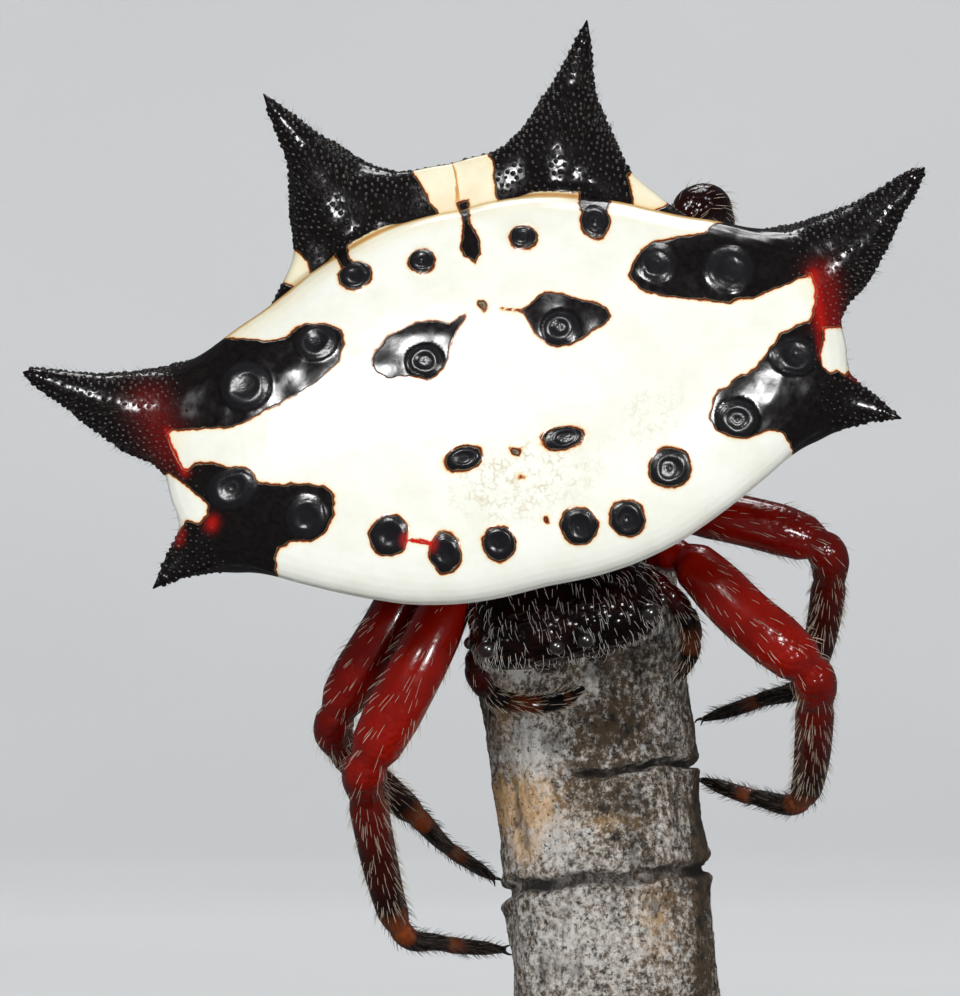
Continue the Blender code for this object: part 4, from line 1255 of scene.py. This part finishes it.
def build_twig(material):
    """Weathered twig with a rough skin, two ring cracks and sawn ends, with painted shade in its hollows and
    cracks and a painted shadow below the head.
    """
    rings = fineness(TWIG_RINGS)
    sides = fineness(TWIG_SIDES)
    axis = TWIG_TOP - TWIG_FOOT
    length = np.linalg.norm(axis)
    spots = TWIG_FOOT + np.linspace(0, 1, rings)[:, None] * axis
    _, side, up = frames_along(spots)
    turn = turns(sides)
    level = np.linspace(0, length, rings)
    grid_level, grid_turn = np.meshgrid(level, turn, indexing="ij")
    seeds = np.stack((np.cos(grid_turn) * 1.3, np.sin(grid_turn) * 1.3, grid_level), axis=-1)
    rough = grid_noise(seeds, (2.2, 2.2, 1.0), 7)
    ridges = grid_noise(seeds, (4.5, 4.5, 0.5))
    swell = grid_noise(seeds, (0.7, 0.7, 0.45))
    radius = TWIG_RADIUS - 0.03 + 0.055 * rough + 0.05 * swell - 0.035 * np.abs(ridges)
    # Painted shade in the low hollows of the rough skin
    shade = smooth_step(0.25, 0.75, -rough) * 0.6
    for height, width, depth, opening, reach in CRACKS:
        middle = (height - TWIG_FOOT[2]) / (axis[2] / length)
        wave = 0.030 * np.sin(grid_turn * 3 + height) + 0.02 * np.sin(grid_turn * 7 + 1) + 0.05 * ridges
        away = np.abs(grid_level - middle - wave)
        aside = np.abs((grid_turn - opening + math.pi) % (2 * math.pi) - math.pi)
        fade = 1 - smooth_step(reach - 0.3, reach, aside)
        cut = (1 - smooth_step(width * 0.5, width, away)) * fade
        lip = np.exp(-((away - width * 1.6) / (width * 0.7)) ** 2) * fade
        radius = radius - depth * cut + LIP_HEIGHT * lip
        # Painted shade inside each crack, darker on the twig's +X side
        shade = np.maximum(shade, cut * (0.82 + 0.22 * np.cos(grid_turn - 0.3) + 0.5 * rough))
    rounding = np.exp(-level / END_ROUNDING) + np.exp((level - length) / END_ROUNDING)
    radius = radius - 0.06 * rounding[:, None]
    points = spots[:, None, :] + radius[..., None] * directions_round(side, up, turn)
    # Painted shadow of the spider's head and body across the twig's upper part, except at its far left
    painted_shadow = 0.08 * smooth_step(10.4, 11.6, points[..., 2]) * smooth_step(-1.5, -0.9, points[..., 0])

    shares = np.array(TWIG_END_SHARES)[:, None, None]
    below = spots[0] + (points[0] - spots[0]) * shares[::-1]
    above = spots[-1] + (points[-1] - spots[-1]) * shares
    ends = np.zeros((len(shares), sides))
    inner = ends + TWIG_RADIUS * shares[:, :, 0]
    bark = np.zeros((rings, sides))
    # shade holds the painted shade and shadow; pale holds the bark's patches together with painted shade
    # along both sides and below the head
    layers = {"shade": (ends + 0.3, np.maximum(shade, painted_shadow), ends + 0.3),
              "pale": (ends + 0.5, 0.5 + bark_places(points, BARK_PATCHES_AND_SHADE), ends + 0.5),
              "stain": (ends, 0.12 + bark_places(points, OCHRE_PLACES), ends),
              "cut": (ends + 1, bark, ends + 1),
              "core": (inner[::-1], bark + TWIG_RADIUS, inner)}
    values = {label: np.concatenate(rows).ravel() for label, rows in layers.items()}
    everything = np.concatenate((below, points, above)).reshape(-1, 3)
    faces = tube_faces(rings + 2 * len(shares), sides)
    add_piece("twig_bark", everything, faces, material, "twig_bark", "perch_twig", values=values)


def build_stand(material):
    """Round base with a rounded edge, and a rod that ends inside the twig's foot."""
    edge = BASE_EDGE
    foot = [(AXIS_RADIUS, 0.0), (BASE_RADIUS - 0.3, 0.0), (BASE_RADIUS - 0.12, 0.01), (BASE_RADIUS, 0.12),
            (BASE_RADIUS, 0.2), (BASE_RADIUS, BASE_HEIGHT - edge - 0.1)]
    corner = [(BASE_RADIUS - edge + edge * math.sin(angle), BASE_HEIGHT - edge + edge * math.cos(angle))
              for angle in np.linspace(math.pi / 2, 0, 9)]
    flat = [(BASE_RADIUS - edge - 0.1, BASE_HEIGHT), (4.0, BASE_HEIGHT), (AXIS_RADIUS, BASE_HEIGHT)]
    base = lathe(foot + corner + flat, BASE_SIDES)
    add_piece("stand_base_skin", *base, material, "stand_black", "stand_base")
    low = BASE_HEIGHT - 0.1
    top = TWIG_FOOT[2] + ROD_REACH
    side = [(ROD_RADIUS, low), (ROD_RADIUS, BASE_HEIGHT + 0.5), (ROD_RADIUS, top - 0.1)]
    profile = [(AXIS_RADIUS, low), *side, (ROD_RADIUS - 0.1, top), (AXIS_RADIUS, top)]
    rod = lathe(profile, ROD_SIDES)
    add_piece("stand_rod_skin", *rod, material, "stand_black", "stand_rod")


def strands(name, hairs, width, material):
    """Thin tapered bristles as one mesh, bent from their first direction toward a second."""
    roots, start, end, lengths, patches = hairs
    start = unit(start)
    end = unit(end)
    lengths = lengths[:, None]
    along = np.linspace(0, 1, HAIR_RINGS)
    across = unit(np.cross(start, end + 1e-3))
    around = directions_round(across, np.cross(start, across), turns(HAIR_SIDES))
    rings = [(roots + lengths * (start * share + (end - start) * share ** 2 * 0.5))[:, None, :]
             + width * (1 - HAIR_TAPER * share) * around for share in along[:-1]]
    tip = roots + lengths * (start + end) * 0.5
    rings.append(np.repeat(tip[:, None, :], HAIR_SIDES, axis=1))
    faces = repeated_faces(HAIR_RINGS, HAIR_SIDES, len(roots))
    levels = np.repeat(along, HAIR_SIDES)
    points = np.concatenate(rings, axis=1).reshape(-1, 3)
    obj = make_mesh(name, points, faces, material, {"along": np.tile(levels, len(roots))})
    layer = obj.data.uv_layers.new(name="OFBake")
    spread = np.stack((np.tile((0.0, 1.0, 0.5), HAIR_RINGS), levels), axis=-1) * 0.003
    spots = (patches[:, None, :] + spread[None]).reshape(-1, 2)
    loops = np.empty(len(obj.data.loops), np.int32)
    obj.data.loops.foreach_get("vertex_index", loops)
    layer.data.foreach_set("uv", spots[loops].astype(np.float32).ravel())
    return obj


def between(rows, index):
    """Rows of a table at fractional places along it."""
    return np.stack([np.interp(index, np.arange(len(rows)), column) for column in rows.T], axis=-1)


def leg_hairs(legs, palps, random):
    """Bristles that lie along the legs and palps, and the darker ones of the feet."""
    gathered = []
    on_feet = []
    limbs = [(*line, LEG_HAIR_COUNT, FOOT_STATION) for line in legs]
    limbs += [(*line, PALP_HAIR_COUNT, FAR) for line in palps]
    for number, (spots, widths, stations, (forward, side, up), count, foot) in enumerate(limbs):
        share = random.uniform(0.14, 0.985, count)
        share = np.where(random.random(count) < 0.45, 0.5 + 0.485 * random.random(count), share)
        turn = random.uniform(0, 2 * math.pi, count)
        index = share * (len(spots) - 1)
        width, station = between(np.stack((widths, stations), axis=-1), index).T
        ahead = between(forward, index)
        outward = np.cos(turn)[:, None] * between(side, index) + np.sin(turn)[:, None] * between(up, index)
        roots = between(spots, index) + outward * (width * 0.97)[:, None]
        lengths = random.uniform(*LEG_HAIR_LENGTHS, count) * np.clip(0.6 + width, 0.6, 1.0)
        patches = np.stack((0.02 + 0.09 * number + 0.08 * turn / (2 * math.pi), 0.02 + 0.9 * share), axis=-1)
        start = ahead * 0.75 + outward * 0.66
        end = ahead * 0.97 + outward * 0.25
        gathered.append((roots, start, end, lengths, patches))
        on_feet.append(station > foot)
    on_feet = np.concatenate(on_feet)
    everything = [np.concatenate(rows) for rows in zip(*gathered)]
    return [rows[~on_feet] for rows in everything], [rows[on_feet] for rows in everything]


def pick(random, chance, count):
    """Numbers of different points, the likelier the greater their chance."""
    return random.choice(len(chance), count, replace=False, p=chance / chance.sum())


def head_hairs(points, normals, random):
    """White bristles that lie forward over the head, thickest at its front corners."""
    ahead, across, height = points.T
    chance = smooth_step(0.9, 1.5, height) * smooth_step(0.9, 1.6, ahead) + 0.10
    corner = smooth_step(0.75, 1.15, np.abs(across)) * smooth_step(1.9, 2.5, ahead)
    chance = (chance + 1.2 * corner) * (height > 0.6)
    chosen = pick(random, chance, HEAD_HAIR_COUNT)
    roots = points[chosen]
    out = normals[chosen]
    lie = np.array((1.0, 0.0, 0.10)) + random.normal(0, 0.19, roots.shape)
    lie[:, 1] += 0.4 * np.sign(roots[:, 1]) * smooth_step(0.8, 1.2, np.abs(roots[:, 1]))
    lie -= out * (lie * out).sum(axis=1)[:, None] * 0.8
    zero = head_to_world(np.zeros((1, 3)))
    start = head_to_world(lie * 0.75 + out * 0.65) - zero
    end = head_to_world(lie - out * 0.50) - zero
    patches = np.stack((0.5 + roots[:, 1] * 0.12, 0.1 + roots[:, 0] * 0.2), axis=-1)
    return head_to_world(roots), start, end, random.uniform(*HEAD_HAIR_LENGTHS, len(roots)), patches


def shell_hairs(points, normals, random):
    """Very short grey hairs on the side spines and the rear spines."""
    s, t, _ = points.T
    wide = np.abs(s)
    chance = smooth_step(4.6, 5.0, wide) + smooth_step(3.1, 3.5, t) * (wide > 1.35) * (wide < 2.6)
    chosen = pick(random, chance, SHELL_HAIR_COUNT)
    out = normals[chosen]
    roots = points[chosen]
    aside = np.sign(roots[:, 0]) * (wide[chosen] > 3.5)
    lie = np.stack((aside, 1.0 * (roots[:, 1] > 2.5), np.zeros(len(roots))), axis=-1)
    axes = abdomen_axes()
    start = (out * 0.8 + lie * 0.4) @ axes
    end = (out * 0.5 + lie * 0.8) @ axes
    patches = np.stack((0.5 + roots[:, 0] * 0.07, 0.5 + roots[:, 1] * 0.08), axis=-1)
    return abdomen_to_world(roots), start, end, random.uniform(*SHELL_HAIR_LENGTHS, len(roots)), patches


def build_hairs(legs, palps, head, abdomen):
    random = np.random.default_rng(HAIR_SEED)
    pale, white, grey, dark = (hair_material(*colours) for colours in HAIR_COLOURS)
    on_legs, on_feet = leg_hairs(legs, palps, random)
    coats = (("leg_bristles", on_legs, 0.0044, pale, "red_leg"),
             ("foot_bristles", on_feet, 0.0046, dark, "dark_shell"),
             ("head_bristles", head_hairs(*head, random), 0.0036, white, "dark_shell"),
             ("shell_bristles", shell_hairs(*abdomen, random), 0.0027, grey, "ivory_plate"))
    for name, hairs, width, material, slot in coats:
        place(strands(name, hairs, width, material), slot)


def build_stage():
    """A pale floor that curves up far away all round."""
    shader = Shader("pale_floor", Roughness=0.9)
    colour = shader.mottle((0.02, 2.0), (0.3, (0.60, 0.61, 0.62)), (0.7, (0.64, 0.65, 0.66)))
    shader.feed("Base Color", colour)
    curve = [(FLOOR_RADIUS + FLOOR_CURVE * math.sin(angle), FLOOR_CURVE - FLOOR_CURVE * math.cos(angle))
             for angle in np.linspace(0.1, math.pi / 2, 14)]
    sweep = [(0.5, 0.0), (60.0, 0.0), (FLOOR_RADIUS, 0.0), *curve, (FLOOR_RADIUS + FLOOR_CURVE, WALL_HEIGHT)]
    floor = make_mesh("pale_floor", *lathe(sweep, FLOOR_SIDES), shader.material)
    floor.visible_glossy = False


def build_lights():
    """Round studio lamps, each aimed at a point, and a faint even sky."""
    for name, spot, aim, size, power in LIGHTS:
        light = bpy.data.lights.new(name, "AREA")
        light.shape = "DISK"
        light.size = size * MM
        light.energy = power
        obj = add_object(name, light)
        obj.location = Vector(spot) * MM
        obj.rotation_euler = (Vector(aim) - Vector(spot)).to_track_quat("-Z", "Y").to_euler()
    world = bpy.data.worlds.new("studio")
    world.use_nodes = True
    world.node_tree.nodes["Background"].inputs["Color"].default_value = (*SKY_COLOUR, 1.0)
    world.node_tree.nodes["Background"].inputs["Strength"].default_value = SKY_STRENGTH
    bpy.context.scene.world = world


def build_camera():
    data = bpy.data.cameras.new("camera")
    data.sensor_width = SENSOR
    data.lens = SENSOR * CAMERA_DISTANCE / FRAME_HEIGHT
    data.clip_start, data.clip_end = CLIP
    camera = add_object("camera", data)
    x, y, z = VIEW_CENTRE
    camera.location = Vector((x, y - CAMERA_DISTANCE, z)) * MM
    camera.rotation_euler = (math.pi / 2, 0.0, 0.0)
    bpy.context.scene.camera = camera
    bpy.context.scene.view_settings.view_transform = "Standard"


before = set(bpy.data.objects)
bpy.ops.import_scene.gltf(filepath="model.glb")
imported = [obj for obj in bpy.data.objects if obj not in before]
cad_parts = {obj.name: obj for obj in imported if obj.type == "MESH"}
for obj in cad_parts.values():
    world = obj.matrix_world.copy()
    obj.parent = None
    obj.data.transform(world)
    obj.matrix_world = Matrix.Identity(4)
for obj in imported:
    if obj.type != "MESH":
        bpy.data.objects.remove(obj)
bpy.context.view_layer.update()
build_camera()
build_stage()
build_lights()
shell, leg_shell, head_shell = shell_material(), leg_material(), head_material()
eye_shell = eye_material()
abdomen = build_abdomen(shell)
build_spinnerets(head_shell)
head = build_head(head_shell, eye_shell)
leg_lines = build_legs(leg_shell, eye_shell)
palp_lines = build_mouthparts(head_shell, leg_shell)
build_twig(bark_material())
build_hairs(leg_lines, palp_lines, head, abdomen)
build_stand(stand_material())
